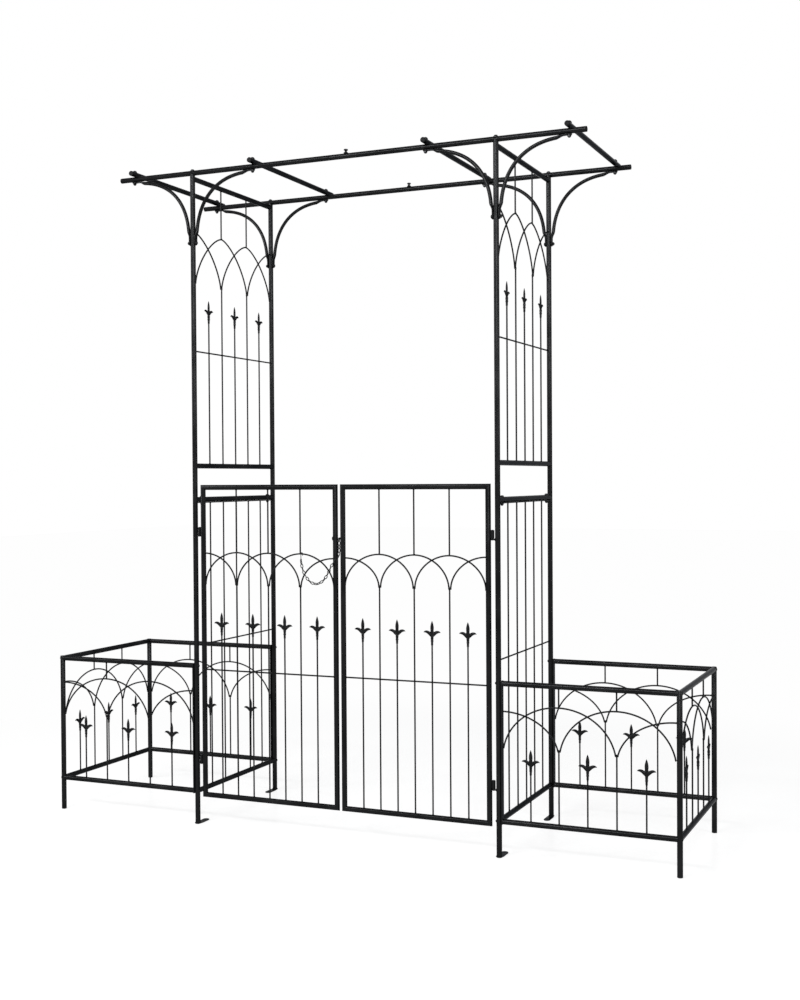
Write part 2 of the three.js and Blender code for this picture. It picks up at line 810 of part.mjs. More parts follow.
// Hinge pins: an arm from the post turned up through the leaf's barrel
function hingePin(side) {
  const armZ = -barrelHeight / 2 - seatGap - pinArmRadius;
  const armEnd = point(side * (pinReach + pinArmRadius), 0, armZ);
  const arm = rod(point(0, 0, armZ), armEnd, pinArmRadius);
  const seat = point(0, 0, armZ - pinArmRadius);
  const shoulder = point(0, 0, armZ + pinArmRadius);
  const collar = rod(seat, shoulder, barrelRadius - barrelWeld - seatGap);
  const tip = point(0, 0, barrelHeight / 2 + pinTipHeight);
  const pin = rod(seat, tip, pinRadius);
  const postLow = point(side * pinReach, 0, seat.z - cutOverrun);
  const postHigh = point(side * pinReach, 0, shoulder.z + cutOverrun);
  return arm.add(collar).add(pin).subtract(rod(postLow, postHigh, clearanceRadius));
}

for (const [sideName, side] of sideNames) {
  for (const [levelName, height] of [["lower", lowerHingeHeight], ["upper", upperHingeHeight]]) {
    const place = [side * pinX, -postY, height];
    addNode(garden_arch, `hinge_pin_${levelName}_${sideName}`, hingePin(side), zincSteel, place);
  }
}

// The chain's bolt through the left latch stile, head on the leaf's side
const boltTipX = leafGap / 2 - chainNutInset;

function chainBolt() {
  const headX = -latchStileX - tubeRadius - seatGap;
  const nutStart = boltTipX - chainNutThickness;
  const shank = rod(point(headX, 0, 0), point(boltTipX, 0, 0), chainBoltDiameter / 2, bracketSides);
  const headStart = point(headX - chainBoltHeadHeight, 0, 0);
  const head = rod(headStart, point(headX, 0, 0), chainBoltHeadDiameter / 2);
  const nut = rod(point(nutStart, 0, 0), point(boltTipX, 0, 0), chainNutDiameter / 2, nutSides);
  return shank.add(head).add(nut);
}

const boltPlace = [0, -postY, chainBoltHeight];
addNode(garden_arch, "chain_bolt", chainBolt(), zincSteel, boltPlace);

// The chain: it hangs from the bolt in the gap between the stiles, passes in
// front of the left stile and sags in a bow to the hook on the leaf's arc.
const linkWireRadius = linkWire / 2;
const linkBend = linkWidth / 2 - linkWireRadius;
const leafPitch = leafClearWidth / gateDivisions;
const hookX = -latchStileX - tubeRadius - 2 * leafPitch + hookOffset;
const hookBendZ = gatePeakHeight + wireRadius + seatGap + hookWire / 2 - hookBendRadius;
const hookEyeZ = hookBendZ - hookLegLength - hookEyeRadius + hookWire / 2;
const hookEyeY = -postY - hookBendRadius;
const firstJointZ = chainBoltHeight + chainBoltDiameter / 2 + seatGap + linkBite / 2;
const lastJointZ = hookEyeZ - hookEyeRadius + hookWire / 2 + seatGap + linkBite / 2;

// Each point: its x and y, its share of the way from the bolt down to the hook,
// and how far it hangs below the straight line between the two.
const chainHangs = [
  [-0.3, -251, 0, 0],
  [-0.3, -251, 0.05, 16.6],
  [-0.3, -251.5, 0.12, 33.7],
  [-0.6, -256.5, 0.18, 42.4],
  [-3, -264, 0.22, 48.6],
  [-9, -268, 0.27, 53],
  [-19, -267, 0.33, 60.7],
  [-32, -263, 0.42, 76.3],
  [-51, -259.8, 0.53, 92.5],
  [-74, -259.4, 0.63, 95.9],
  [-95, -259.4, 0.72, 83],
  [-110, -259.2, 0.81, 59.6],
  [-121, -257.8, 0.9, 33.2],
  [hookX, hookEyeY, 1, 0],
];
const chainRoute = chainHangs.map(([x, y, share, hang]) => {
  return point(x, y, firstJointZ + (lastJointZ - firstJointZ) * share - hang);
});

// Points on the route that lie one link apart in a straight line.
function jointsApart(points, spacing) {
  const joints = [points[0]];
  for (const next of points) {
    if (next.distanceTo(joints[joints.length - 1]) >= spacing) {
      joints.push(next);
    }
  }
  return joints;
}

function chainJoints() {
  const curve = new THREE.CatmullRomCurve3(chainRoute, false, "centripetal");
  const points = curve.getPoints(routeSteps);
  let low = curve.getLength() / linkCount / 2;
  let high = curve.getLength() / linkCount;
  for (let i = 0; i < spacingTries; i += 1) {
    const middle = (low + high) / 2;
    if (jointsApart(points, middle).length > linkCount) {
      low = middle;
    } else {
      high = middle;
    }
  }
  return jointsApart(points, low).slice(0, linkCount + 1);
}

function chainLink(spacing) {
  const reach = (spacing + linkWire - linkBite) / 2;
  const stretch = reach - linkBend;
  const geometry = new THREE.TorusGeometry(linkBend, linkWireRadius, linkSides, linkSteps);
  geometry.rotateZ(Math.PI / linkSteps);
  const position = geometry.attributes.position;
  for (let i = 0; i < position.count; i += 1) {
    const x = position.getX(i);
    position.setX(i, x + Math.sign(x) * stretch);
  }
  return geometry;
}

// Each link stands a quarter turn from the one before it.
function chain() {
  const joints = chainJoints();
  const spans = joints.slice(1).map((joint, i) => joint.clone().sub(joints[i]));
  const directions = spans.map((span) => span.clone().normalize());
  const sides = [axisY.clone()];
  for (let i = 1; i < linkCount; i += 1) {
    const turn = new THREE.Quaternion().setFromUnitVectors(directions[i - 1], directions[i]);
    sides.push(sides[i - 1].clone().applyQuaternion(turn));
  }
  const last = linkCount - 1;
  const quarter = Math.PI / 2;
  const cross = directions[last].clone().cross(sides[last]);
  const leftOver = Math.atan2(axisY.dot(cross), axisY.dot(sides[last])) - last * quarter;
  const twist = leftOver - Math.round(leftOver / Math.PI) * Math.PI;
  const links = spans.map((span, i) => {
    const centre = joints[i].clone().addScaledVector(span, 0.5);
    const roll = i * quarter + (twist * i) / last + bowTwist * Math.sin((Math.PI * i) / last);
    const side = sides[i].clone().applyAxisAngle(directions[i], roll);
    const third = directions[i].clone().cross(side);
    const place = new THREE.Matrix4().makeBasis(directions[i], side, third);
    place.setPosition(centre);
    const geometry = chainLink(span.length());
    geometry.applyMatrix4(place);
    return solidOf(geometry);
  });
  return joined(links);
}

addNode(garden_arch, "gate_chain", chain(), zincSteel);

// The chain's hook over the arc, with an eye for the last link
function chainHook() {
  const points = [point(0, -hookBendRadius, hookBendZ - hookLegLength)];
  for (let i = 0; i <= hookSteps; i += 1) {
    const angle = Math.PI - (i * Math.PI) / hookSteps;
    const y = hookBendRadius * Math.cos(angle);
    points.push(point(0, y, hookBendZ + hookBendRadius * Math.sin(angle)));
  }
  points.push(point(0, hookBendRadius, hookBendZ - hookTipLength));
  const smooth = new THREE.CatmullRomCurve3(points, false, "centripetal");
  const stem = swept(smooth, hookWire / 2, hookSides, hookSteps * 2);
  const eye = new THREE.TorusGeometry(hookEyeRadius, hookWire / 2, hookSides, hookSteps);
  eye.rotateX(Math.PI / 2);
  eye.translate(0, -hookBendRadius, hookEyeZ);
  return stem.add(solidOf(eye));
}

addNode(garden_arch, "chain_hook", chainHook(), zincSteel, [hookX, -postY, 0]);

export default garden_arch;
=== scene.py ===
import math

import bpy
import numpy as np
from mathutils import Matrix, Vector


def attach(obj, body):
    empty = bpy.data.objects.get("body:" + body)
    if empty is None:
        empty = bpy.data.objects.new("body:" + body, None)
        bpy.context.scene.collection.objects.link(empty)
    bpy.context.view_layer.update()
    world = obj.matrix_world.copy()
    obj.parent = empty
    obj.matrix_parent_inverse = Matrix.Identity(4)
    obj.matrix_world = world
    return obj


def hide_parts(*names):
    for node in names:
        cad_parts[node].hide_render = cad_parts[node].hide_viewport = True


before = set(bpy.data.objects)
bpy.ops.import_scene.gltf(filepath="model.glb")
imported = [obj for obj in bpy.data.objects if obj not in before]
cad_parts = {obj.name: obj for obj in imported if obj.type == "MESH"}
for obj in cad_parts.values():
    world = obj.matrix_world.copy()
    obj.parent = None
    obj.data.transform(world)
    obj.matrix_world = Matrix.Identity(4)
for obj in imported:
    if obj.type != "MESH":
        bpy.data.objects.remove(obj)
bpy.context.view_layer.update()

MM = 0.001
SIDES = (("left", -1), ("right", 1))
DEPTHS = (("front", -1), ("back", 1))
X = np.array([1.0, 0, 0])
Y = np.array([0, 1.0, 0])
Z = np.array([0, 0, 1.0])
ORIGIN = np.zeros(3)

# Tubes, posts and roof
TUBE_R = 8.0
BORE_R = 6.8
EDGE = 0.6
SEAT = 0.3
CLEAR_R = TUBE_R + SEAT
POST_X = 504.0
POST_Y = 251.0
JOINT_Z = 1078.0
JOINT_EDGE = 0.7
SPIGOT_R = 6.5
SPIGOT_REACH = 4.0
BEAM_Z = 2050.0
BEAM_HALF = 769.0
CROSS_Z = BEAM_Z + 2 * TUBE_R + SEAT
CROSS_FRONT = -POST_Y - 20.0
CROSS_BACK = POST_Y + 44.0
THUMB_X = {"front": 31.0, "back": 21.0}

# Plugs in the open tube ends
PLUG_DEPTH = 7.0
PLUG_RIM = 1.1
PLUG_R = TUBE_R - 0.05
BEAM_PLUG_RISE = 0.9
CROSS_PLUG_RISE = 2.2

# Foot lugs
LUG_REACH = 58.0
LUG_HALF = 10.0
LUG_HOLE = 46.0
LUG_HEEL = 2.0
LUG_MIDDLE = 30.0
LUG_THICK = 3.0
LUG_EDGE = 0.4
HOLE_R = 4.5
HOLE_EDGE = 0.3
FAR_OFF = 1e9

# Brackets and the flat tabs at their ends
BRACKET_REACH = 216.0
BRACKET_DROP = 219.0
BRACKET_R = 5.5
BRACKET_BOW = 2.4
TAB_THICK = 3.0
TAB_HALF = 8.5
TAB_OVER = 8.0
TAB_END = 26.0
TAB_OPENING = 21.0

# Wires, grilles and planters
WIRE_R = 2.4
ARCH_LAYER = 1.5
CROSS_LAYER = 2.5
WELD_SINK = 0.6
WIRE_SINK = 1.0
CLIP_SINK = 3.0
SPEAR_SOCKET = 34.0
SIDE_CLEAR = 2 * (POST_Y - TUBE_R)
SIDE_DIVISIONS = 6
RAIL_Z = 1025.0
RAIL_BOLT_INSET = 38.0
STRIP_THICK = 3.0
STRIP_Z = RAIL_Z - TUBE_R - SEAT - STRIP_THICK / 2
LOWER_WIRE_Z = 564.5
PLANTER_Z = (104.0, 500.0)
LOWER_Z = PLANTER_Z[0]
UPPER_Z = (1131.0, 2033.0)
PLANTER_LENGTH = 518.0
LEG_X = POST_X + PLANTER_LENGTH
LEG_EDGE = 0.8
STRAP_THICK = 4.0
STRAP_END = CLEAR_R + STRAP_THICK
LONG_CLEAR = PLANTER_LENGTH - STRAP_END - TUBE_R
LONG_CENTRE = (STRAP_END + PLANTER_LENGTH - TUBE_R) / 2

# Gate and hinges
GATE_Z = (95.0, 1063.0)
GATE_DIVISIONS = 8
HINGES = {"lower": 208.0, "upper": 926.0}
PIN_OFFSET = 16.0
PIN_X = POST_X - PIN_OFFSET
BARREL_R = 5.5
BARREL_HALF = 12.0
SEAM_R = 1.3
SEAM_HALF = 10.5
SEAM_IN = 5.6
SEAM_Y = 2.6
ARM_R = 2.5
ARM_Z = -BARREL_HALF - SEAT - ARM_R
HALF_GAP = 4.5
HINGE_STILE = PIN_X - BARREL_R - TUBE_R + WELD_SINK
LATCH_STILE = HALF_GAP + TUBE_R
LEAF_CLEAR = HINGE_STILE - LATCH_STILE - 2 * TUBE_R
LEAF_CENTRE = (HINGE_STILE + LATCH_STILE) / 2

# Heights in the arched panels, as shares of the way from the low rail to the high one
UPPER = dict(wire=0.4, crown=0.549, foot=0.6375, peak=0.818, edges=(0.818, 0.818))
PLANTER = dict(crown=0.449, foot=0.533, peak=0.8485, edges=(0.798, 0.798))
GATE = {
    "left": dict(wire=0.409, crown=0.561, foot=0.685, peak=0.79, edges=(0.777, 0.787)),
    "right": dict(wire=0.409, crown=0.561, foot=0.691, peak=0.793, edges=(0.78, 0.79)),
}

# Forms of the bent wires: an arch with its roundness, or an arc with its half angle in degrees
POINTED = ("arch", 1.5)
ROUND = ("arch", 1.93)
WIDE = ("arc", 81)

# Bolt heads as radius and height, nuts as width and height, weld beads as radius and height
ROOF_HEAD = (5.8, 3.4)
RAIL_HEAD = (5.6, 3.2)
INNER_HEAD = (4.3, 3.0)
OUTER_HEAD = (4.6, 2.0)
CHAIN_HEAD = (6.4, 2.0)
HEAD_SINK = 0.5
RAIL_HEAD_SINK = 0.4
ROOF_NUT = (10.0, 4.2)
RAIL_NUT = (9.0, 3.6)
RAIL_BEAD = (3.3, 2.2)
STRIP_BEAD = (3.1, 1.8)
CROSS_BEAD = (2.9, 1.6)
PEAK_BEAD = (2.9, 1.8)
EDGE_BEAD = (3.0, 2.0)
STILE_BEAD = (3.1, 2.0)

# Chain, its bolt and its hook
CHAIN_LINKS = 25
LINK_R = 1.35
LINK_BEND = 3.3
LINK_OVERLAP = 0.06
BOW_TWIST = math.pi / 4
ROUTE_LIFT = 0.175
BOLT_Z = 908.0
BOLT_R = 1.7
BOLT_END = 3.2
BOLT_NUT_THICK = 1.8
HOOK_R = 1.2
HOOK_BEND = 5.5
HOOK_LEG = 15.0
HOOK_SHANK = 8.0
HOOK_TIP = 4.0
HOOK_BESIDE = 5.0
EYE_R = 3.4

STEEL = "coated_steel"
FITTING = "fittings"
SHARP_ANGLE = math.radians(38)
GRAZING_TINT = (0.49, 0.495, 0.505, 1)
SKIN_HEIGHT = 0.0003


# Directions and heights
def vec(*values):
    return np.array(values, float)


def unit(v):
    return v / np.linalg.norm(v)


def frame_of(axis, hint=None):
    """Two directions square to an axis, so that first x second = axis."""
    axis = unit(axis)
    if hint is None:
        hint = X if abs(axis[0]) < 0.8 else Y
    first = unit(hint - axis * np.dot(hint, axis))
    return first, np.cross(axis, first)


def full_turn(sides):
    """Angles of the corners of a regular form."""
    return np.arange(sides) * 2 * math.pi / sides


def quarter_turn(steps):
    """Angles inside a quarter turn that cut it into equal steps."""
    return [i * math.pi / 2 / steps for i in range(1, steps)]


def height_at(levels, share):
    low, high = levels
    return low + share * (high - low)


class Shape:
    """Vertices and faces of one piece, in millimetres."""

    def __init__(self):
        self.verts = []
        self.faces = []

    def add(self, verts, faces):
        base = len(self.verts)
        self.verts.extend(np.asarray(verts, float).reshape(-1, 3).tolist())
        self.faces.extend([[i + base for i in face] for face in faces])

    def rings(self, rings, closed=False):
        """A skin from ring to ring, with a cap on each end of an open row."""
        rings = [np.asarray(ring, float) for ring in rings]
        count = len(rings[0])
        faces = []
        last = len(rings) if closed else len(rings) - 1
        for i in range(last):
            here = i * count
            there = ((i + 1) % len(rings)) * count
            for k in range(count):
                after = (k + 1) % count
                faces.append([here + k, here + after, there + after, there + k])
        if not closed:
            faces.append(list(range(count))[::-1])
            faces.append([(len(rings) - 1) * count + k for k in range(count)])
        self.add(np.concatenate(rings), faces)

    def sweep(self, path, radius, sides=10, closed=False, hint=None):
        """A round rod along a path of points."""
        path = np.asarray(path, float)
        if closed:
            tangents = np.roll(path, -1, 0) - np.roll(path, 1, 0)
        else:
            tangents = np.gradient(path, axis=0)
        first, _ = frame_of(tangents[0], hint)
        angles = full_turn(sides)
        rings = []
        for point, tangent in zip(path, tangents):
            tangent = unit(tangent)
            first = unit(first - tangent * np.dot(first, tangent))
            second = np.cross(tangent, first)
            around = np.outer(np.cos(angles), first) + np.outer(np.sin(angles), second)
            rings.append(point + radius * around)
        self.rings(rings, closed)

    def turned(self, origin, axis, outline, sides=28, flutes=0, depth=0.0, loop=False):
        """A turned form: outline points are (along the axis, radius), and a loop has a bore."""
        axis = unit(np.asarray(axis, float))
        first, second = frame_of(axis)
        angles = full_turn(sides)
        verts, rows = [], []
        for along, radius in outline:
            centre = origin + axis * along
            if radius == 0:
                rows.append([len(verts)])
                verts.append(centre)
                continue
            scale = np.full(sides, float(radius))
            if flutes and radius > depth * 4:
                scale = radius - depth * (0.5 + 0.5 * np.cos(angles * flutes))
            around = np.outer(np.cos(angles) * scale, first)
            around += np.outer(np.sin(angles) * scale, second)
            rows.append(list(range(len(verts), len(verts) + sides)))
            verts.extend(centre + around)
        pairs = list(zip(rows[:-1], rows[1:]))
        if loop:
            pairs.append((rows[-1], rows[0]))
        faces = []
        for row, other in pairs:
            for k in range(sides):
                after = (k + 1) % sides
                if len(row) == 1:
                    faces.append([row[0], other[after], other[k]])
                elif len(other) == 1:
                    faces.append([row[k], row[after], other[0]])
                else:
                    faces.append([row[k], row[after], other[after], other[k]])
        self.add(verts, faces)

    def tube(self, start, end, cope_start=None, cope_end=None, sides=28):
        """A frame tube; a coped end fits round a tube that runs in the cope's direction."""
        start, end = np.asarray(start, float), np.asarray(end, float)
        axis = unit(end - start)
        first, second = frame_of(axis)
        angles = full_turn(sides)
        around = TUBE_R * (np.outer(np.cos(angles), first) + np.outer(np.sin(angles), second))
        rings = []
        for point, cope, sign in ((start, cope_start, 1), (end, cope_end, -1)):
            if cope is None:
                inner = around * (1 - EDGE / TUBE_R)
                pair = [point + inner, point + around + axis * EDGE * sign]
                rings.extend(pair if sign > 0 else pair[::-1])
                continue
            side = np.cross(axis, unit(np.asarray(cope, float)))
            cut = np.sqrt(np.maximum(CLEAR_R**2 - (around @ side) ** 2, 0))
            rings.append(point + around + np.outer(cut, axis * sign))
        self.rings(rings)

    def bar(self, centre, size, bevel=0.5):
        """A flat bar with chamfered edges."""
        half_x, half_y, top = np.asarray(size, float) / 2
        rings = []
        for z, inset in ((-top, bevel), (-top + bevel, 0), (top - bevel, 0), (top, bevel)):
            x, y = half_x - inset, half_y - inset
            near_x, near_y = x - bevel, y - bevel
            outline = ((x, -near_y), (x, near_y), (near_x, y), (-near_x, y))
            outline += ((-x, near_y), (-x, -near_y), (-near_x, -y), (near_x, -y))
            rings.append([centre + vec(u, v, z) for u, v in outline])
        self.rings(rings)

    def bead(self, point, axis, size=RAIL_BEAD):
        """The little weld where a wire meets a rail."""
        radius, height = size
        outline = ((-1.6, 0), (-1.6, radius), (0, radius), (height * 0.45, radius * 0.86))
        outline += ((height, WIRE_R + 0.15), (height, 0))
        self.turned(np.asarray(point, float), axis, outline, 12)

    def placed(self, place, turn=0.0):
        verts = np.asarray(self.verts)
        cosine, sine = math.cos(turn), math.sin(turn)
        spin = np.array([[cosine, -sine, 0], [sine, cosine, 0], [0, 0, 1]])
        self.verts = (verts @ spin.T + np.asarray(place, float)).tolist()
        return self

    def piece(self, name, body, material, slot, stands_for=()):
        mesh = bpy.data.meshes.new(name)
        mesh.from_pydata((np.asarray(self.verts) * MM).tolist(), [], self.faces)
        mesh.polygons.foreach_set("use_smooth", [True] * len(mesh.polygons))
        mesh.set_sharp_from_angle(angle=SHARP_ANGLE)
        mesh.materials.append(material)
        thing = bpy.data.objects.new(name, mesh)
        bpy.context.scene.collection.objects.link(thing)
        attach(thing, body)
        if stands_for:
            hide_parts(*stands_for)


# Materials
def noise(nodes, links, where, scale, detail):
    node = nodes.new("ShaderNodeTexNoise")
    node.inputs["Scale"].default_value = scale
    node.inputs["Detail"].default_value = detail
    links.new(where.outputs["Object"], node.inputs["Vector"])
    return node.outputs["Fac"]


def finish(name, dark, light, roughness, metallic, patch, grain, lift):
    """A black finish with uneven tone and gloss, a fine skin and no pale rim at grazing angles."""
    material = bpy.data.materials.new(name)
    material.use_nodes = True
    nodes, links = material.node_tree.nodes, material.node_tree.links
    shader = nodes["Principled BSDF"]
    shader.inputs["Metallic"].default_value = metallic
    shader.inputs["Specular IOR Level"].default_value = 0.0
    shader.inputs["Specular Tint"].default_value = GRAZING_TINT
    where = nodes.new("ShaderNodeTexCoord")

    tone = nodes.new("ShaderNodeValToRGB")
    tone.color_ramp.elements[0].position = 0.35
    tone.color_ramp.elements[1].position = 0.68
    tone.color_ramp.elements[0].color = (*dark, 1)
    tone.color_ramp.elements[1].color = (*light, 1)
    links.new(noise(nodes, links, where, patch, 3), tone.inputs["Fac"])
    links.new(tone.outputs["Color"], shader.inputs["Base Color"])

    gloss = nodes.new("ShaderNodeMapRange")
    gloss.inputs["From Min"].default_value = 0.3
    gloss.inputs["From Max"].default_value = 0.7
    gloss.inputs["To Min"].default_value = roughness[0]
    gloss.inputs["To Max"].default_value = roughness[1]
    links.new(noise(nodes, links, where, patch * 4, 2), gloss.inputs["Value"])
    links.new(gloss.outputs["Result"], shader.inputs["Roughness"])

    skin = nodes.new("ShaderNodeBump")
    skin.inputs["Strength"].default_value = lift
    skin.inputs["Distance"].default_value = SKIN_HEIGHT
    links.new(noise(nodes, links, where, grain, 2), skin.inputs["Height"])
    links.new(skin.outputs["Normal"], shader.inputs["Normal"])
    return material


coat = finish(
    "black_powder_coat",
    dark=(0.0100, 0.0104, 0.0108),
    light=(0.0171, 0.0175, 0.0182),
    roughness=(0.23, 0.28),
    metallic=0.8,
    patch=14.0,
    grain=900.0,
    lift=0.06,
)
cast_coat = finish(
    "black_cast_coat",
    dark=(0.0103, 0.0107, 0.0113),
    light=(0.0171, 0.0177, 0.0185),
    roughness=(0.34, 0.46),
    metallic=0.8,
    patch=60.0,
    grain=600.0,
    lift=0.35,
)
plating = finish(
    "black_plating",
    dark=(0.0137, 0.0141, 0.0148),
    light=(0.0274, 0.0280, 0.0292),
    roughness=(0.26, 0.38),
    metallic=0.9,
    patch=90.0,
    grain=1600.0,
    lift=0.12,
)
plug_plastic = finish(
    "black_plug_plastic",
    dark=(0.0114, 0.0116, 0.0121),
    light=(0.0171, 0.0174, 0.0180),
    roughness=(0.46, 0.6),
    metallic=0.7,
    patch=40.0,
    grain=2200.0,
    lift=0.25,
)
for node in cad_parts.values():
    node.data.materials.clear()
    node.data.materials.append(coat)


# Small fittings
def dome_head(shape, point, axis, size, washer=True):
    """A rounded bolt head with a socket in its top."""
    radius, height = size
    rim, washer_top = radius + 1.4, 0.9
    point = np.asarray(point, float)
    if washer:
        disc = ((-2.5, 0), (-2.5, rim), (0.6, rim), (washer_top, rim - 0.3), (washer_top, 0))
        shape.turned(point, axis, disc, 24)
    base = washer_top if washer else -EDGE
    shoulder = base + 0.4
    outline = [(base, 0), (base, radius)]
    for angle in quarter_turn(6):
        outline.append((shoulder + height * math.sin(angle), radius * math.cos(angle) ** 0.7))
    top, socket = shoulder + height, shoulder + height - 1.5
    outline += [(top, 2.3), (socket, 2.1), (socket, 0)]
    shape.turned(point, axis, outline, 24)


def acorn_nut(shape, point, axis, size=ROOF_NUT):
    """A washer, a six-sided body and a round cap."""
    flats, height = size
    corner, washer_top = flats / math.sqrt(3), 0.8
    rim = corner + 1.2
    washer = ((-0.2, 0), (-0.2, rim), (washer_top, rim), (washer_top, 0))
    shape.turned(point, axis, washer, 24)
    body = ((washer_top, 0), (washer_top, corner - 0.4), (washer_top + 0.4, corner))
    body += ((height, corner), (height + 0.7, corner - 0.7), (height + 0.7, 0))
    shape.turned(point, axis, body, 6)
    cap_r, cap_height = corner - 1.2, 3.6
    cap = [(height, 0), (height, cap_r)]
    for angle in quarter_turn(6):
        cap.append((height + cap_height * math.sin(angle), cap_r * math.cos(angle)))
    cap.append((height + cap_height, 0))
    shape.turned(point, axis, cap, 20)


def plug(shape, point, axis, rise):
    """A plastic plug with a low dome, pushed into a tube end."""
    outline = [(-PLUG_DEPTH, 0), (-PLUG_DEPTH, BORE_R - 0.3), (0, BORE_R - 0.2)]
    outline += [(0.05, PLUG_R), (PLUG_RIM, PLUG_R)]
    for angle in quarter_turn(7):
        outline.append((PLUG_RIM + rise * math.sin(angle), PLUG_R * math.cos(angle) ** 0.55))
    outline.append((PLUG_RIM + rise, 0))
    shape.turned(point, axis, outline)


# Arched wires and spears
def arch_path(centre, layer, foot, peak, left, right, form, steps=44):
    """A bent wire: a rounded arch with upright feet, or an arc of fewer degrees."""
    fine = np.linspace(-1 if left > 0 else 0, 1 if right > 0 else 0, 1200)
    reach = np.where(fine < 0, left, right)
    kind, value = form
    if kind == "arc":
        turn = math.radians(value)
        across = np.sin(fine * turn) / math.sin(turn)
        rise = (np.cos(fine * turn) - math.cos(turn)) / (1 - math.cos(turn))
    else:
        power = 2 / value
        angle = fine * math.pi / 2
        across = np.sign(fine) * np.abs(np.sin(angle)) ** power
        rise = np.cos(angle) ** power
    up = foot + (peak - foot) * rise
    points = np.stack([centre + reach * across, np.full_like(up, layer), up], 1)
    run = np.concatenate([[0], np.cumsum(np.linalg.norm(np.diff(points, axis=0), axis=1))])
    even = np.linspace(0, run[-1], steps + 1)
    return np.stack([np.interp(even, run, points[:, k]) for k in range(3)], 1)


def wire(shape, start, end):
    shape.sweep([start, end], WIRE_R)


def cross_wire(shape, half, z):
    """A level wire on one side of the upright ones."""
    wire(shape, vec(-half, CROSS_LAYER, z), vec(half, CROSS_LAYER, z))


def rail(shape, z):
    """A level tube across the depth of the arch, coped at both ends."""
    shape.tube((-POST_Y, 0, z), (POST_Y, 0, z), Z, Z)


def leaf_blade(shape, spine, widths, thickness, across):
    """A leaf of a spear head: lens sections along a spine."""
    spine = np.asarray(spine, float)
    tangents = np.gradient(spine, axis=0)
    rings = []
    for centre, tangent, width, thick in zip(spine, tangents, widths, thickness):
        tangent = unit(tangent)
        wide = unit(np.cross(tangent, across))
        ring = []
        for angle in full_turn(12):
            u, v = math.cos(angle), math.sin(angle)
            ridge = abs(v) ** 1.35 * (1 if v > 0 else -1)
            ring.append(centre + wide * width * u + across * thick * ridge)
        rings.append(ring)
    shape.rings(rings)


def spear_head(shape, x, crown):
    """A cast spear: a lance blade over two wings, with a body that tapers to the wire."""
    base = vec(x, 0, crown)
    heights = (-19, -14, -9, -4, 1, 5, 10, 16, 22, 27, 31, 33.5)
    widths = (3.6, 4.6, 5.6, 6.0, 5.4, 5.0, 5.5, 5.4, 4.3, 2.9, 1.3, 0.15)
    thick = (2.6, 3.0, 3.2, 3.2, 3.2, 3.1, 3.0, 2.9, 2.5, 1.8, 0.9, 0.15)
    leaf_blade(shape, [base + Z * h for h in heights], widths, thick, Y)

    wing = ((1, -10), (4.5, -6.6), (8.5, -3.4), (12.5, -0.8))
    wing += ((16.5, 0.7), (20.5, 1.1), (24, 0.5), (27, -1.2))
    wing_widths = (5.4, 5.6, 5.2, 4.7, 4.1, 3.2, 1.9, 0.2)
    wing_thick = (3.0, 2.9, 2.7, 2.4, 2.1, 1.6, 0.9, 0.15)
    for side in (-1, 1):
        points = [base + vec(side * u, 0, w) for u, w in wing]
        leaf_blade(shape, points, wing_widths, wing_thick, Y * side)

    neck = ((-39, 0), (-39, 2.6), (-37.5, 3.3), (-32, 3.3), (-28, 3.5), (-26.8, 4.3), (-25.2, 4.4))
    neck += ((-24, 3.7), (-20, 4.0), (-16, 4.4), (-11, 3.2), (-9, 0))
    shape.turned(base, Z, neck, 18)


def arched_panel(shape, heads, clear, divisions, levels, shares, form, welded=False):
    """Upright wires with spears between crossing arches, in a frame of a clear width."""
    low, high = levels
    foot, peak = height_at(levels, shares["foot"]), height_at(levels, shares["peak"])
    crown = height_at(levels, shares["crown"])
    pitch = clear / divisions
    seat = WIRE_R + SEAT
    edge_seat = -WIRE_SINK if welded else seat
    edge_start = -WIRE_SINK if welded else SEAT
    clip = ((-3, 2.0), (-1, 2.9), (3, 3.1), (6, 2.3), (7, 0))
    layer = -ARCH_LAYER
    for i in range(1, divisions):
        x = -clear / 2 + i * pitch
        shape.bead((x, 0, low + TUBE_R - WELD_SINK), Z)
        if i % 2:
            wire(shape, vec(x, 0, low), vec(x, 0, crown - SPEAR_SOCKET))
            spear_head(heads, x, crown)
            continue
        wire(shape, vec(x, 0, low), vec(x, 0, foot + CLIP_SINK))
        wire(shape, vec(x, 0, peak), vec(x, 0, high))
        shape.bead((x, 0, high - TUBE_R + WELD_SINK), -Z)
        shape.bead((x, layer, peak + WIRE_R / 2), Z, PEAK_BEAD)
        shape.turned(vec(x, 0, foot), Z, clip, 12)
        left = 2 * pitch - (edge_seat if i == 2 else seat)
        right = 2 * pitch - (edge_seat if i == divisions - 2 else seat)
        shape.sweep(arch_path(x, layer, foot, peak, left, right, form), WIRE_R, hint=Y)
        layer = -layer
    reach = 2 * pitch - seat - edge_start
    low_edge, high_edge = (height_at(levels, share) for share in shares["edges"])
    for x, depth, top, left, right in (
        (-clear / 2 + edge_start, ARCH_LAYER, low_edge, 0, reach),
        (clear / 2 - edge_start, layer, high_edge, reach, 0),
    ):
        shape.sweep(arch_path(x, depth, foot, top, left, right, form, 24), WIRE_R, hint=Y)
        shape.bead((x, depth, top), X if right else -X, EDGE_BEAD)


# Posts and their foot lugs
def rim_distance(angle):
    """How far the rim of a lug is from the middle of its hole, in one direction."""
    dx, dy = math.cos(angle), math.sin(angle)
    round_start = LUG_REACH - LUG_HALF
    reach = LUG_HALF / abs(dx) if abs(dx) > 1e-9 else FAR_OFF
    if dy < 0:
        reach = min(reach, (LUG_HOLE - LUG_HEEL) / -dy)
    if LUG_HOLE + reach * dy > round_start:
        offset = LUG_HOLE - round_start
        along = dy * offset
        reach = -along + math.sqrt(along**2 - offset**2 + LUG_HALF**2)
    return reach


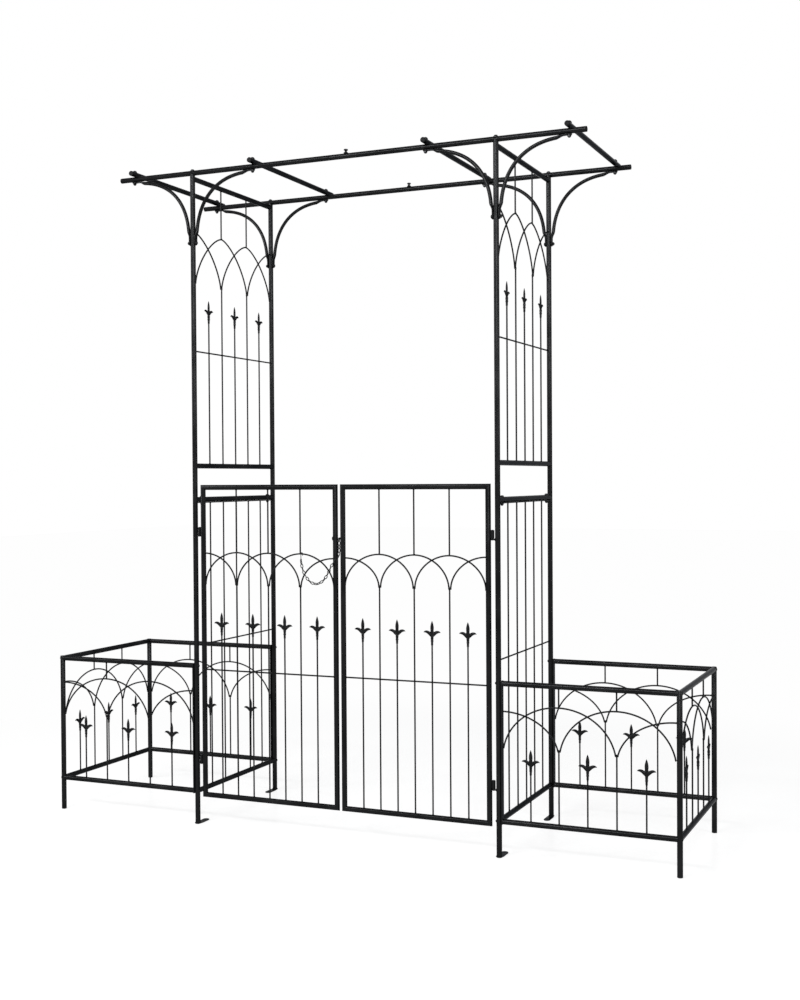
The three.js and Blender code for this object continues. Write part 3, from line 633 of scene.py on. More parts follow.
def foot_lug(shape, inward):
    """A flat tab with a hole, and the weld bead that joins it to the post."""
    angles = full_turn(48)
    middle = np.array((0.0, LUG_MIDDLE))
    low, high = LUG_EDGE, LUG_THICK - LUG_EDGE
    rings = []
    for z, inset in ((0, LUG_EDGE), (low, 0), (high, 0), (LUG_THICK, LUG_EDGE)):
        ring = []
        for angle in angles:
            reach = rim_distance(angle)
            point = np.array((reach * math.cos(angle), LUG_HOLE + reach * math.sin(angle)))
            u, v = point + unit(middle - point) * inset
            ring.append((u, v * inward, z))
        rings.append(ring)
    for z, grow in ((LUG_THICK, HOLE_EDGE), (high, 0), (low, 0), (0, HOLE_EDGE)):
        ring = []
        for angle in angles:
            u, v = (HOLE_R + grow) * math.cos(angle), (HOLE_R + grow) * math.sin(angle)
            ring.append((u, (LUG_HOLE + v) * inward, z))
        rings.append(ring)
    if inward < 0:
        rings = [ring[::-1] for ring in rings]
    shape.rings(rings, closed=True)
    weld = ((0, 0), (0, TUBE_R + 0.2), (3.0, TUBE_R + 2.2))
    weld += ((4.4, TUBE_R + 1.3), (5.2, TUBE_R - 0.1), (5.2, 0))
    shape.turned(ORIGIN, Z, weld, 30)


def post(depth_name, depth, side_name, side):
    """A lower post with its lug, and the upper post over a spigot."""
    place = (side * POST_X, depth * POST_Y, 0)
    name = f"{depth_name}_{side_name}"
    lower = Shape()
    outline = ((0, 0), (0, TUBE_R - EDGE), (EDGE, TUBE_R), (JOINT_Z - JOINT_EDGE, TUBE_R))
    outline += ((JOINT_Z, TUBE_R - JOINT_EDGE), (JOINT_Z, 0))
    lower.turned(ORIGIN, Z, outline, 32)
    foot_lug(lower, -depth)
    lower.placed(place).piece(f"post_lower_{name}_fine", "arch", coat, STEEL, [f"post_lower_{name}"])
    upper = Shape()
    low, high = JOINT_Z - SPIGOT_REACH, JOINT_Z + SPIGOT_REACH
    upper.turned(ORIGIN, Z, ((low, 0), (low, SPIGOT_R), (high, SPIGOT_R), (high, 0)), 24)
    upper.tube((0, 0, JOINT_Z + SEAT), (0, 0, BEAM_Z), cope_end=X, sides=32)
    upper.placed(place).piece(f"post_upper_{name}_fine", "arch", coat, STEEL, [f"post_upper_{name}"])


for depth_name, depth in DEPTHS:
    for side_name, side in SIDES:
        post(depth_name, depth, side_name, side)


# Side panels
def lower_grille(side_name, place, turn):
    """Upright wires between a rail and a flat strip, with one cross wire."""
    shape = Shape()
    rail(shape, LOWER_Z)
    shape.bar(vec(0, 0, STRIP_Z), (SIDE_CLEAR - 4 * SEAT, 2 * TUBE_R, STRIP_THICK))
    for i in range(1, SIDE_DIVISIONS):
        x = -SIDE_CLEAR / 2 + i * SIDE_CLEAR / SIDE_DIVISIONS
        wire(shape, vec(x, 0, LOWER_Z), vec(x, 0, STRIP_Z))
        shape.bead((x, 0, LOWER_Z + TUBE_R - WELD_SINK), Z)
        shape.bead((x, 0, STRIP_Z - STRIP_THICK / 2), -Z, STRIP_BEAD)
        shape.bead((x, WIRE_R / 2, LOWER_WIRE_Z), Y, CROSS_BEAD)
    cross_wire(shape, SIDE_CLEAR / 2 - SEAT, LOWER_WIRE_Z)
    name = f"side_grille_lower_{side_name}"
    shape.placed(place, turn).piece(f"{name}_fine", "arch", coat, STEEL, [name])


def side_rail(side_name, place, turn):
    shape = Shape()
    rail(shape, RAIL_Z)
    name = f"side_rail_{side_name}"
    shape.placed(place, turn).piece(f"{name}_fine", "arch", coat, STEEL, [name])


def upper_grille(side_name, place, turn):
    """Crossing arches with spears between two rails, with one cross wire."""
    shape, heads = Shape(), Shape()
    for z in UPPER_Z:
        rail(shape, z)
    arched_panel(shape, heads, SIDE_CLEAR, SIDE_DIVISIONS, UPPER_Z, UPPER, POINTED)
    cross_wire(shape, SIDE_CLEAR / 2 - SEAT, height_at(UPPER_Z, UPPER["wire"]))
    name = f"side_grille_upper_{side_name}"
    shape.placed(place, turn).piece(f"{name}_fine", "arch", coat, STEEL, [name])
    heads.placed(place, turn).piece(f"side_spears_{side_name}", "arch", cast_coat, STEEL)


def side_rail_bolts(side_name, side):
    """Two bolts through the rail and the strip under it."""
    bolts = Shape()
    for y in (-1, 1):
        point = vec(side * POST_X, y * (POST_Y - RAIL_BOLT_INSET), 0)
        dome_head(bolts, point + Z * (RAIL_Z + TUBE_R - RAIL_HEAD_SINK), Z, RAIL_HEAD)
        acorn_nut(bolts, point + Z * (STRIP_Z - STRIP_THICK / 2), -Z, RAIL_NUT)
    bolts.piece(f"side_rail_bolts_{side_name}", "arch", plating, FITTING)


for side_name, side in SIDES:
    place, turn = (side * POST_X, 0, 0), side * math.pi / 2
    lower_grille(side_name, place, turn)
    side_rail(side_name, place, turn)
    upper_grille(side_name, place, turn)
    side_rail_bolts(side_name, side)


# Roof beams, thumb screws and cross tubes
def beam(depth_name, y, side_name, side):
    """Half of a beam, with the plug in its outer end."""
    name = f"beam_{depth_name}_{side_name}"
    tip = vec(side * BEAM_HALF, y, BEAM_Z)
    shape, cap = Shape(), Shape()
    shape.tube(vec(SEAT if side > 0 else 0, y, BEAM_Z), tip, sides=32)
    shape.piece(f"{name}_fine", "arch", coat, STEEL, [name])
    plug(cap, tip, X * side, BEAM_PLUG_RISE)
    cap.piece(f"{name}_plug", "arch", plug_plastic, FITTING)


def thumb_screw(depth_name, y):
    """A collar and stem under a fluted knob."""
    shape = Shape()
    base = vec(THUMB_X[depth_name], y, BEAM_Z + TUBE_R)
    stem = ((-3, 0), (-3, 2.5), (0.3, 2.5), (0.3, 6.6), (0.9, 7), (1.8, 6.9))
    stem += ((3.4, 4.6), (6, 3.1), (8.2, 3), (8.2, 0))
    knob = ((8.1, 0), (8.1, 5.4), (8.8, 6.25), (11.6, 6.25), (12.3, 5.5), (12.5, 0))
    shape.turned(base, Z, stem, 26)
    shape.turned(base, Z, knob, sides=72, flutes=18, depth=0.7)
    name = f"thumb_screw_{depth_name}"
    shape.piece(f"{name}_fine", "arch", plating, FITTING, [name])


def cross_tube(x, name):
    """A tube over both beams, with a plug in each end and a bolt at each beam."""
    shape, caps, bolts = Shape(), Shape(), Shape()
    front, back = vec(x, CROSS_FRONT, CROSS_Z), vec(x, CROSS_BACK, CROSS_Z)
    shape.tube(front, back, sides=32)
    shape.piece(f"{name}_fine", "arch", coat, STEEL, [name])
    plug(caps, front, -Y, CROSS_PLUG_RISE)
    plug(caps, back, Y, CROSS_PLUG_RISE)
    caps.piece(f"{name}_plugs", "arch", plug_plastic, FITTING)
    for y in (-POST_Y, POST_Y):
        dome_head(bolts, vec(x, y, CROSS_Z + TUBE_R - HEAD_SINK), Z, ROOF_HEAD)
        acorn_nut(bolts, vec(x, y, BEAM_Z - TUBE_R - SEAT - TAB_THICK), -Z)
    bolts.piece(f"{name}_bolts", "arch", plating, FITTING)


for depth_name, depth in DEPTHS:
    for side_name, side in SIDES:
        beam(depth_name, depth * POST_Y, side_name, side)
    thumb_screw(depth_name, depth * POST_Y)
for reach, kind in ((POST_X - BRACKET_REACH, "inner"), (POST_X + BRACKET_REACH, "outer")):
    for side_name, side in SIDES:
        cross_tube(side * reach, f"cross_tube_{kind}_{side_name}")


# Brackets: tubes flattened to tabs at both ends
def bracket_route():
    """The middle line of the bracket's tube, as x, z and the length run so far."""
    start = CLEAR_R + BRACKET_R
    angle = np.linspace(math.pi, math.pi / 2, 1600)
    power = 2 / BRACKET_BOW
    x = start + (BRACKET_REACH - start) * (1 - np.abs(np.cos(angle)) ** power)
    z = (BRACKET_DROP - start) * np.abs(np.sin(angle)) ** power - BRACKET_DROP
    x = np.concatenate([[start], x, [BRACKET_REACH + TAB_OVER]])
    z = np.concatenate([[-BRACKET_DROP - TAB_OVER], z, [-start]])
    run = np.concatenate([[0], np.cumsum(np.hypot(np.diff(x), np.diff(z)))])
    return x, z, run


def bracket_section(from_end, sides=24):
    """Outline at a distance from the nearer end, as (towards the post or beam, across)."""
    half_tab = TAB_THICK / 2
    opened = min(max((from_end - TAB_END) / TAB_OPENING, 0), 1)
    opened = opened * opened * (3 - 2 * opened)
    thick = half_tab + (BRACKET_R - half_tab) * opened
    wide = TAB_HALF + (BRACKET_R - TAB_HALF) * opened
    if from_end < TAB_HALF:
        wide = max(math.sqrt(max(TAB_HALF**2 - (TAB_HALF - from_end) ** 2, 0)), 1.0)
    power = 2 / (4.5 - 2.5 * opened)
    outline = []
    for k in range(sides):
        angle = 2 * math.pi * (k + 0.5) / sides
        u, v = math.cos(angle), math.sin(angle)
        out = BRACKET_R - thick + thick * math.copysign(abs(u) ** power, u)
        outline.append((out, wide * math.copysign(abs(v) ** power, v)))
    return outline


def bracket(direction):
    x, z, run = bracket_route()
    total = run[-1]
    ends = np.array([0, 0.35, 1.2, 2.6, 4.5, 6.6, 8.5, 12, 16, 20, 24])
    blend = np.linspace(27, 47, 9)
    middle = np.linspace(50, total - 50, 40)
    stops = np.concatenate([ends, blend, middle, total - blend[::-1], total - ends[::-1]])
    rings = []
    for stop in stops:
        px, pz = np.interp(stop, run, x), np.interp(stop, run, z)
        ahead, back = min(stop + 1, total), max(stop - 1, 0)
        tx = np.interp(ahead, run, x) - np.interp(back, run, x)
        tz = np.interp(ahead, run, z) - np.interp(back, run, z)
        length = math.hypot(tx, tz)
        nx, nz = -tz / length, tx / length
        outline = bracket_section(min(stop, total - stop))
        ring = [(direction * (px + nx * out), across, pz + nz * out) for out, across in outline]
        rings.append(ring[::-1] if direction > 0 else ring)
    shape = Shape()
    shape.rings(rings)
    return shape


def post_bolts(name, place, side):
    """The bolt through both bracket feet, and the bolt in the top of the post."""
    bolts = Shape()
    low = place - Z * BRACKET_DROP
    dome_head(bolts, low + X * -side * (CLEAR_R + TAB_THICK), X * -side, ROOF_HEAD)
    acorn_nut(bolts, low + X * side * (CLEAR_R + TAB_THICK), X * side)
    dome_head(bolts, place + Z * (TUBE_R - HEAD_SINK), Z, ROOF_HEAD)
    bolts.piece(f"post_bolts_{name}", "arch", plating, FITTING)


for depth_name, depth in DEPTHS:
    for side_name, side in SIDES:
        place = vec(side * POST_X, depth * POST_Y, BEAM_Z)
        for kind, direction in (("inner", -side), ("outer", side)):
            name = f"bracket_{kind}_{depth_name}_{side_name}"
            bracket(direction).placed(place).piece(f"{name}_fine", "arch", coat, STEEL, [name])
        post_bolts(f"{depth_name}_{side_name}", place, side)


# Planters
def planter_leg(name, x, y):
    leg = Shape()
    top = PLANTER_Z[1] + TUBE_R
    outline = ((0, 0), (0, TUBE_R - LEG_EDGE), (LEG_EDGE, TUBE_R), (top - 1.2, TUBE_R))
    outline += ((top - 0.3, TUBE_R - 0.5), (top, TUBE_R - 1.4), (top, 0))
    leg.turned(vec(x, y, 0), Z, outline, 32)
    leg.piece(f"planter_leg_{name}_fine", "arch", coat, STEEL, [f"planter_leg_{name}"])


def planter_long_panel(name, side, y):
    """Two rails with arches and spears, and a flat strap along the post."""
    panel, heads = Shape(), Shape()
    strap_x = -LONG_CLEAR / 2 - STRAP_THICK / 2
    for z in PLANTER_Z:
        panel.tube((strap_x, 0, z), (LONG_CLEAR / 2 + TUBE_R, 0, z), cope_end=Z)
    height = PLANTER_Z[1] - PLANTER_Z[0] + 2 * TUBE_R
    strap = (STRAP_THICK, 2 * TUBE_R, height)
    panel.bar(vec(strap_x, 0, sum(PLANTER_Z) / 2), strap, bevel=0.6)
    arched_panel(panel, heads, LONG_CLEAR, SIDE_DIVISIONS, PLANTER_Z, PLANTER, WIDE)
    place = (side * (POST_X + LONG_CENTRE), y, 0)
    turn = 0 if side > 0 else math.pi
    panel.placed(place, turn).piece(f"planter_{name}_fine", "arch", coat, STEEL, [f"planter_{name}"])
    heads.placed(place, turn).piece(f"planter_spears_{name}", "arch", cast_coat, STEEL)


def planter_bolts(name, side, y):
    """Bolt heads on the inner side of the post and the outer side of the leg."""
    bolts = Shape()
    for z in PLANTER_Z:
        inner = vec(side * (POST_X - TUBE_R + HEAD_SINK), y, z)
        dome_head(bolts, inner, X * -side, INNER_HEAD, washer=False)
        outer = vec(side * (LEG_X + TUBE_R - HEAD_SINK), y, z)
        dome_head(bolts, outer, X * side, OUTER_HEAD, washer=False)
    bolts.piece(f"planter_bolts_{name}", "arch", plating, FITTING)


def planter_end(side_name, side):
    panel, heads = Shape(), Shape()
    for z in PLANTER_Z:
        rail(panel, z)
    arched_panel(panel, heads, SIDE_CLEAR, SIDE_DIVISIONS, PLANTER_Z, PLANTER, WIDE)
    place, turn = (side * LEG_X, 0, 0), side * math.pi / 2
    name = f"planter_end_{side_name}"
    panel.placed(place, turn).piece(f"{name}_fine", "arch", coat, STEEL, [name])
    heads.placed(place, turn).piece(f"planter_end_spears_{side_name}", "arch", cast_coat, STEEL)


for side_name, side in SIDES:
    for depth_name, depth in DEPTHS:
        name = f"{depth_name}_{side_name}"
        planter_leg(name, side * LEG_X, depth * POST_Y)
        planter_long_panel(name, side, depth * POST_Y)
        planter_bolts(name, side, depth * POST_Y)
    planter_end(side_name, side)


# Gate leaves and hinges
def mitred_frame(shape, x_levels, z_levels, sides=32):
    """Four tubes round a rectangle, joined at their mitred corners."""
    low_x, high_x = x_levels
    low_z, high_z = z_levels
    corners = ((low_x, low_z, -1, -1), (high_x, low_z, 1, -1))
    corners += ((high_x, high_z, 1, 1), (low_x, high_z, -1, 1))
    rings = []
    for x, z, out_x, out_z in corners:
        ring = []
        for angle in full_turn(sides):
            out = TUBE_R * math.cos(angle)
            ring.append((x + out_x * out, TUBE_R * math.sin(angle), z + out_z * out))
        rings.append(ring)
    shape.rings(rings, closed=True)


def hinge_barrels():
    """Both barrels of a leaf, with weld seams in front and behind."""
    shape = Shape()
    pin = PIN_X - LEAF_CENTRE
    tip, inner = BARREL_HALF, BARREL_HALF - 0.5
    outline = ((-tip, 3.4), (-tip, 5.1), (-inner, BARREL_R), (inner, BARREL_R), (tip, 5.1), (tip, 3.4))
    for height in HINGES.values():
        shape.turned(vec(pin, 0, height), Z, outline, loop=True)
        for y in (-SEAM_Y, SEAM_Y):
            ends = [(pin - SEAM_IN, y, height + half) for half in (-SEAM_HALF, SEAM_HALF)]
            shape.sweep(ends, SEAM_R, 8)
    return shape


def gate_leaf(side_name, side):
    """A welded leaf with arches, spears and one cross wire, and its barrels."""
    leaf, heads = Shape(), Shape()
    shares = GATE[side_name]
    mitred_frame(leaf, (LATCH_STILE - LEAF_CENTRE, HINGE_STILE - LEAF_CENTRE), GATE_Z)
    arched_panel(leaf, heads, LEAF_CLEAR, GATE_DIVISIONS, GATE_Z, shares, ROUND, welded=True)
    z = height_at(GATE_Z, shares["wire"])
    cross_wire(leaf, LEAF_CLEAR / 2 + WIRE_SINK, z)
    for end in (-1, 1):
        leaf.bead((end * (LEAF_CLEAR / 2 + 0.5), CROSS_LAYER, z), X * -end, STILE_BEAD)
    place, turn = (side * LEAF_CENTRE, -POST_Y, 0), 0 if side > 0 else math.pi
    body = f"leaf_{side_name}"
    name = f"gate_leaf_{side_name}"
    leaf.placed(place, turn).piece(f"{name}_fine", body, coat, STEEL, [name])
    heads.placed(place, turn).piece(f"gate_spears_{side_name}", body, cast_coat, STEEL)
    hinge_barrels().placed(place, turn).piece(f"gate_barrels_{side_name}", body, coat, STEEL)


def hinge_pin(level, height, side_name, side):
    """An upright pin on an arm that is welded to the post."""
    pin = Shape()
    start = vec(side * (PIN_OFFSET - CLEAR_R + 0.2), 0, ARM_Z)
    outline = ((ARM_Z - 2.6, 0), (ARM_Z - 2.6, 3.9), (ARM_Z - 2, 4.5), (ARM_Z + 2, 4.5))
    outline += ((ARM_Z + 2.5, 4.1), (ARM_Z + 2.5, 3), (12, 3), (12.7, 2.6), (13, 1.6), (13, 0))
    weld = ((-0.4, 0), (-0.4, 4.4), (0.8, 3.7), (1.8, 2.7), (1.8, 0))
    pin.sweep([start, (0, 0, ARM_Z)], ARM_R, 16)
    pin.turned(ORIGIN, Z, outline, 24)
    pin.turned(start, X * -side, weld, 18)
    pin.placed((side * PIN_X, -POST_Y, height))
    name = f"hinge_pin_{level}_{side_name}"
    pin.piece(f"{name}_fine", "arch", plating, FITTING, [name])


for side_name, side in SIDES:
    gate_leaf(side_name, side)
    for level, height in HINGES.items():
        hinge_pin(level, height, side_name, side)


# The chain on the left leaf, from its bolt to its hook
HOOK_X = -LATCH_STILE - TUBE_R - 2 * LEAF_CLEAR / GATE_DIVISIONS + HOOK_BESIDE
GATE_PEAK = height_at(GATE_Z, GATE["left"]["peak"])
HOOK_BEND_Z = GATE_PEAK + WIRE_R + SEAT + HOOK_R - HOOK_BEND
HOOK_EYE_Z = HOOK_BEND_Z - HOOK_LEG - EYE_R + HOOK_R
FIRST_Z = BOLT_Z + BOLT_R + SEAT + ROUTE_LIFT
LAST_Z = HOOK_EYE_Z - EYE_R + HOOK_R + SEAT + ROUTE_LIFT

# Points of the bow: x, y, share of the way from FIRST_Z to LAST_Z, and how far below it hangs
HANGS = (
    (-0.3, -251, 0, 0),
    (-0.3, -251, 0.05, 16.6),
    (-0.3, -251.5, 0.12, 33.7),
    (-0.6, -256.5, 0.18, 42.4),
    (-3, -264, 0.22, 48.6),
    (-9, -268, 0.27, 53),
    (-19, -267, 0.33, 60.7),
    (-32, -263, 0.42, 76.3),
    (-51, -259.8, 0.53, 92.5),
    (-74, -259.4, 0.63, 95.9),
    (-95, -259.4, 0.72, 83),
    (-110, -259.2, 0.81, 59.6),
    (-121, -257.8, 0.9, 33.2),
    (HOOK_X, -256.5, 1, 0),
)


def smooth_curve(points, steps):
    """Points of a centripetal spline through the given ones."""
    points = [np.asarray(p, float) for p in points]
    padded = [2 * points[0] - points[1], *points, 2 * points[-1] - points[-2]]
    last = len(points) - 1
    out = []
    for s in range(steps + 1):
        t = s / steps * last
        i = min(int(t), last - 1)
        w = t - i
        p0, p1, p2, p3 = padded[i : i + 4]
        d0, d1, d2 = (math.sqrt(np.linalg.norm(b - a)) for a, b in ((p0, p1), (p1, p2), (p2, p3)))
        m1 = ((p1 - p0) / d0 - (p2 - p0) / (d0 + d1) + (p2 - p1) / d1) * d1
        m2 = ((p2 - p1) / d1 - (p3 - p1) / (d1 + d2) + (p3 - p2) / d2) * d1
        bend = (-3 * p1 + 3 * p2 - 2 * m1 - m2) * w**2
        twist = (2 * p1 - 2 * p2 + m1 + m2) * w**3
        out.append(p1 + m1 * w + bend + twist)
    return np.array(out)


def rotated(v, axis, angle):
    axis = unit(axis)
    turned = v * math.cos(angle) + np.cross(axis, v) * math.sin(angle)
    return turned + axis * np.dot(axis, v) * (1 - math.cos(angle))


def joints_along(points, spacing):
    """Points of a fine curve that lie at least a spacing apart."""
    found = [points[0]]
    for p in points:
        if math.dist(p, found[-1]) >= spacing:
            found.append(p)
    return found


def chain_joints():
    """Where one link passes into the next, at the even spacing that fits the number of links."""
    route = [vec(x, y, FIRST_Z + (LAST_Z - FIRST_Z) * share - hang) for x, y, share, hang in HANGS]
    points = smooth_curve(route, 3000)
    length = np.linalg.norm(np.diff(points, axis=0), axis=1).sum()
    low, high = length / CHAIN_LINKS / 2, length / CHAIN_LINKS
    for _ in range(22):
        middle = (low + high) / 2
        if len(joints_along(points, middle)) > CHAIN_LINKS:
            low = middle
        else:
            high = middle
    return joints_along(points, low)[: CHAIN_LINKS + 1]


def link_sides(ways):
    """A direction square to each link, carried along the chain without twist."""
    sides = [Y.copy()]
    for a, b in zip(ways[:-1], ways[1:]):
        axis = np.cross(a, b)
        turn = math.asin(min(np.linalg.norm(axis), 1))
        sides.append(rotated(sides[-1], axis, turn) if turn > 1e-7 else sides[-1])
    return sides


def link_path(centre, way, side, stretch):
    """The middle line of an oval link."""
    path = []
    for k in range(26):
        angle = 2 * math.pi * (k + 0.5) / 26
        along = LINK_BEND * math.cos(angle) + math.copysign(stretch, math.cos(angle))
        path.append(centre + way * along + side * LINK_BEND * math.sin(angle))
    return path


def chain():
    """Each link turns a quarter from the one before, with a further twist in the bow."""
    shape = Shape()
    joints = chain_joints()
    spans = [b - a for a, b in zip(joints[:-1], joints[1:])]
    ways = [unit(s) for s in spans]
    sides = link_sides(ways)
    last = len(spans) - 1
    aside = np.dot(Y, np.cross(ways[last], sides[last]))
    left_over = math.atan2(aside, np.dot(Y, sides[last])) - last * math.pi / 2
    twist = left_over - round(left_over / math.pi) * math.pi
    for i, span in enumerate(spans):
        half_open = BOW_TWIST * math.sin(math.pi * i / last)
        side = rotated(sides[i], ways[i], i * math.pi / 2 + twist * i / last + half_open)
        stretch = (np.linalg.norm(span) + 2 * LINK_R - LINK_OVERLAP) / 2 - LINK_R - LINK_BEND
        shape.sweep(link_path(joints[i] + span / 2, ways[i], side, stretch), LINK_R, 9, closed=True)
    return shape


def chain_bolt():
    """A bolt across the latch stile, with its nut in the gap between the leaves."""
    shape = Shape()
    head_x = -LATCH_STILE - TUBE_R - SEAT
    nut = ((0, 0), (0, 3.6), (0.3, 3.9), (1.5, 3.9), (BOLT_NUT_THICK, 3.5), (BOLT_NUT_THICK, 0))
    shape.sweep([(head_x, 0, 0), (BOLT_END, 0, 0)], BOLT_R, 14)
    shape.turned(vec(BOLT_END - BOLT_NUT_THICK, 0, 0), X, nut, 6)
    dome_head(shape, (head_x, 0, 0), -X, CHAIN_HEAD, washer=False)
    return shape


def chain_hook():
    """A bent hook over the arch of the leaf, with an eye for the last link."""
    shape = Shape()
    path = [vec(0, -HOOK_BEND, HOOK_BEND_Z - drop) for drop in (HOOK_LEG, HOOK_SHANK)]
    for angle in np.linspace(math.pi, 0, 19):
        path.append(vec(0, HOOK_BEND * math.cos(angle), HOOK_BEND_Z + HOOK_BEND * math.sin(angle)))
    path.append(vec(0, HOOK_BEND, HOOK_BEND_Z - HOOK_TIP))
    shape.sweep(path, HOOK_R, 12)
    eye = []
    for angle in full_turn(24):
        y, z = EYE_R * math.cos(angle), EYE_R * math.sin(angle)
        eye.append(vec(0, y - HOOK_BEND, z + HOOK_EYE_Z))
    shape.sweep(eye, HOOK_R, 12, closed=True)
    return shape


chain().piece("gate_chain_fine", "leaf_left", plating, FITTING, ["gate_chain"])
bolt = chain_bolt().placed((0, -POST_Y, BOLT_Z))
bolt.piece("chain_bolt_fine", "leaf_left", plating, FITTING, ["chain_bolt"])
hook = chain_hook().placed((HOOK_X, -POST_Y, 0))
hook.piece("chain_hook_fine", "leaf_left", plating, FITTING, ["chain_hook"])

# Floor and world, in metres
FLOOR_CORNERS = ((-16, -16, 0), (16, -16, 0), (16, 24, 0), (-16, 24, 0))
FLOOR_MATT = 0.9
FLOOR_PALE = 0.4
FLOOR_GLOW = 0.76
FLOOR_SHINE = 0.045
FLOOR_SHINE_ROUGHNESS = 0.2
FADE_START = 1.3
FADE_END = 2.6
WORLD_LIGHT = 0.235
WORLD_TINT = (0.96, 0.98, 1.0, 1)
WHITE = (1, 1, 1, 1)


def either(nodes, links, first, second):
    """1 where one of two ray outputs is 1."""
    node = nodes.new("ShaderNodeMath")
    node.operation = "MAXIMUM"
    links.new(first, node.inputs[0])
    links.new(second, node.inputs[1])
    return node.outputs["Value"]


def straight_rays(nodes, links):
    """1 for rays from the camera, a mirror or glass, and 0 for all others."""
    path = nodes.new("ShaderNodeLightPath")
    seen = either(nodes, links, path.outputs["Is Camera Ray"], path.outputs["Is Glossy Ray"])
    return either(nodes, links, seen, path.outputs["Is Transmission Ray"])


def mixed(nodes, links, first, second):
    """A mix of two shaders, whose share is set by the caller."""
    node = nodes.new("ShaderNodeMixShader")
    links.new(first, node.inputs[1])
    links.new(second, node.inputs[2])
    return node


def diffuse(nodes, level):
    node = nodes.new("ShaderNodeBsdfDiffuse")
    node.inputs["Color"].default_value = (level, level, level, 1)
    return node.outputs["BSDF"]


def emission(nodes, strength):
    node = nodes.new("ShaderNodeEmission")
    node.inputs["Strength"].default_value = strength
    return node.outputs["Emission"]


def distance_share(nodes, links):
    """0 round the object, and 1 from where the floor is pure white."""
    where = nodes.new("ShaderNodeTexCoord")
    distance = nodes.new("ShaderNodeVectorMath")
    distance.operation = "LENGTH"
    fade = nodes.new("ShaderNodeMapRange")
    fade.interpolation_type = "SMOOTHSTEP"
    fade.inputs["From Min"].default_value = FADE_START
    fade.inputs["From Max"].default_value = FADE_END
    links.new(where.outputs["Object"], distance.inputs[0])
    links.new(distance.outputs["Value"], fade.inputs["Value"])
    return fade.outputs["Result"]


def floor_material():
    """White with the object's shade and a faint shine for straight rays, and matt for all others."""
    material = bpy.data.materials.new("pale_floor")
    material.use_nodes = True
    nodes, links = material.node_tree.nodes, material.node_tree.links
    nodes.clear()
    near = nodes.new("ShaderNodeAddShader")
    links.new(emission(nodes, FLOOR_GLOW), near.inputs[0])
    links.new(diffuse(nodes, FLOOR_PALE), near.inputs[1])
    lit = mixed(nodes, links, near.outputs["Shader"], emission(nodes, 1.0))
    links.new(distance_share(nodes, links), lit.inputs["Fac"])
    shine = nodes.new("ShaderNodeBsdfGlossy")
    shine.inputs["Roughness"].default_value = FLOOR_SHINE_ROUGHNESS
    seen = mixed(nodes, links, lit.outputs["Shader"], shine.outputs["BSDF"])
    seen.inputs["Fac"].default_value = FLOOR_SHINE
    choose = mixed(nodes, links, diffuse(nodes, FLOOR_MATT), seen.outputs["Shader"])
    links.new(straight_rays(nodes, links), choose.inputs["Fac"])
    out = nodes.new("ShaderNodeOutputMaterial")
    links.new(choose.outputs["Shader"], out.inputs["Surface"])
    return material


def add_floor():
    mesh = bpy.data.meshes.new("floor")
    mesh.from_pydata(FLOOR_CORNERS, [], [(0, 1, 2, 3)])
    mesh.materials.append(floor_material())
    floor = bpy.data.objects.new("floor", mesh)
    bpy.context.scene.collection.objects.link(floor)


def background(nodes, color, strength):
    node = nodes.new("ShaderNodeBackground")
    node.inputs["Color"].default_value = color
    node.inputs["Strength"].default_value = strength
    return node.outputs["Background"]


def add_world():
    """A soft plain light that straight rays see as white."""
    world = bpy.data.worlds.new("studio")
    bpy.context.scene.world = world
    world.use_nodes = True
    nodes, links = world.node_tree.nodes, world.node_tree.links
    nodes.clear()
    plain = background(nodes, WORLD_TINT, WORLD_LIGHT)
    choose = mixed(nodes, links, plain, background(nodes, WHITE, 1.0))
    links.new(straight_rays(nodes, links), choose.inputs["Fac"])
    out = nodes.new("ShaderNodeOutputWorld")
    links.new(choose.outputs["Shader"], out.inputs["Surface"])


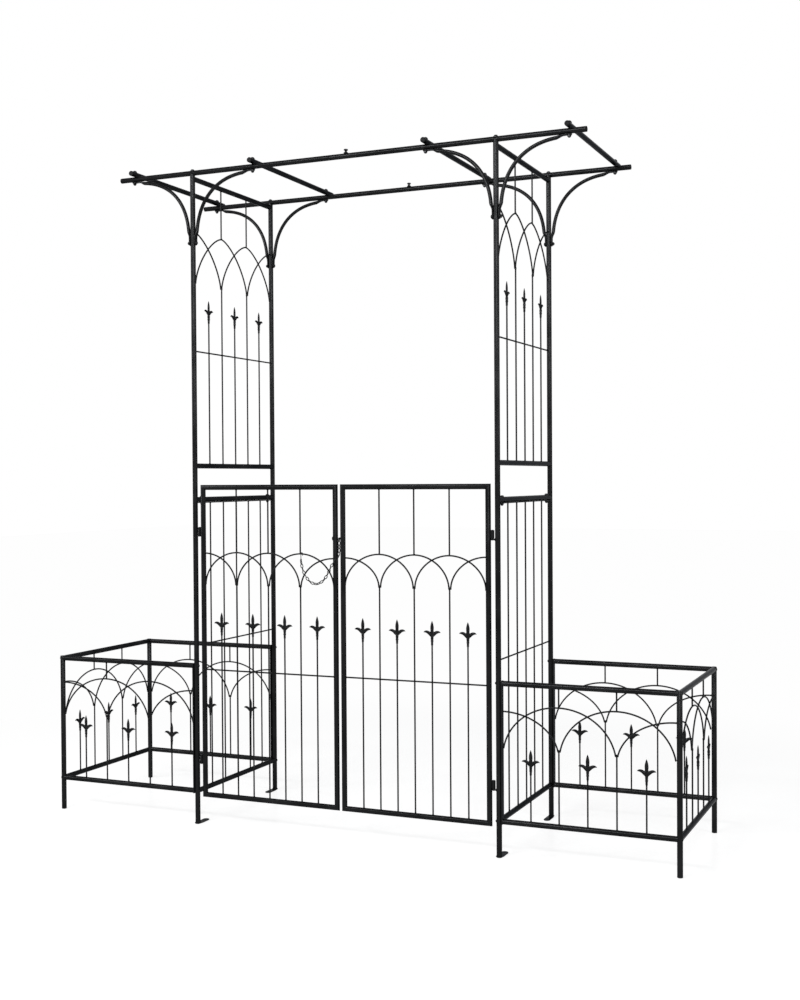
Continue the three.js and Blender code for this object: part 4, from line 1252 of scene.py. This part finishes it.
# Lamps and camera
def softbox(name, place, target, size, power):
    lamp = bpy.data.lights.new(name, "AREA")
    lamp.shape = "RECTANGLE"
    lamp.size, lamp.size_y = size
    lamp.energy = power
    thing = bpy.data.objects.new(name, lamp)
    bpy.context.scene.collection.objects.link(thing)
    thing.location = place
    thing.rotation_euler = (Vector(target) - Vector(place)).to_track_quat("-Z", "Y").to_euler()
    thing.visible_camera = False


def add_camera():
    """The photograph's viewing angle, from the lines of its posts, rails and beams."""
    place = (1.7839, -3.883, 1.0862)
    yaw, pitch, roll = -0.4112, -0.0157, -0.0062
    focal_pixels, photo_height, sensor = 1346, 1000, 36
    ahead_x, ahead_y = math.sin(yaw) * math.cos(pitch), math.cos(yaw) * math.cos(pitch)
    ahead = Vector((ahead_x, ahead_y, math.sin(pitch)))
    level_right = Vector((math.cos(yaw), -math.sin(yaw), 0))
    level_up = level_right.cross(ahead)
    right = level_right * math.cos(roll) + level_up * math.sin(roll)
    up = level_up * math.cos(roll) - level_right * math.sin(roll)
    lens = bpy.data.cameras.new("camera")
    lens.sensor_fit = "AUTO"
    lens.sensor_width = sensor
    lens.lens = focal_pixels / photo_height * sensor
    lens.clip_start, lens.clip_end = 0.05, 100
    camera = bpy.data.objects.new("camera", lens)
    bpy.context.scene.collection.objects.link(camera)
    turn = Matrix((right, up, -ahead)).transposed().to_4x4()
    camera.matrix_world = Matrix.Translation(place) @ turn
    bpy.context.scene.camera = camera


add_floor()
add_world()
softbox("key", (-1.1, -4.3, 3.4), target=(0, 0, 1.2), size=(2.6, 0.4), power=124)
softbox("left", (-3.6, -2.4, 2.2), target=(0, 0, 1.6), size=(0.8, 1.8), power=56)
softbox("front", (2.0, -4.5, 2.5), target=(0, 0, 1.6), size=(1.3, 1.2), power=81)
softbox("right", (4.4, -1.2, 2.2), target=(0, 0, 1.6), size=(0.8, 1.8), power=43)
softbox("top", (0, 0.4, 5.2), target=(0, 0, 0), size=(3.0, 1.6), power=8.5)
add_camera()
bpy.context.scene.view_settings.view_transform = "Standard"

bpy.context.view_layer.update()
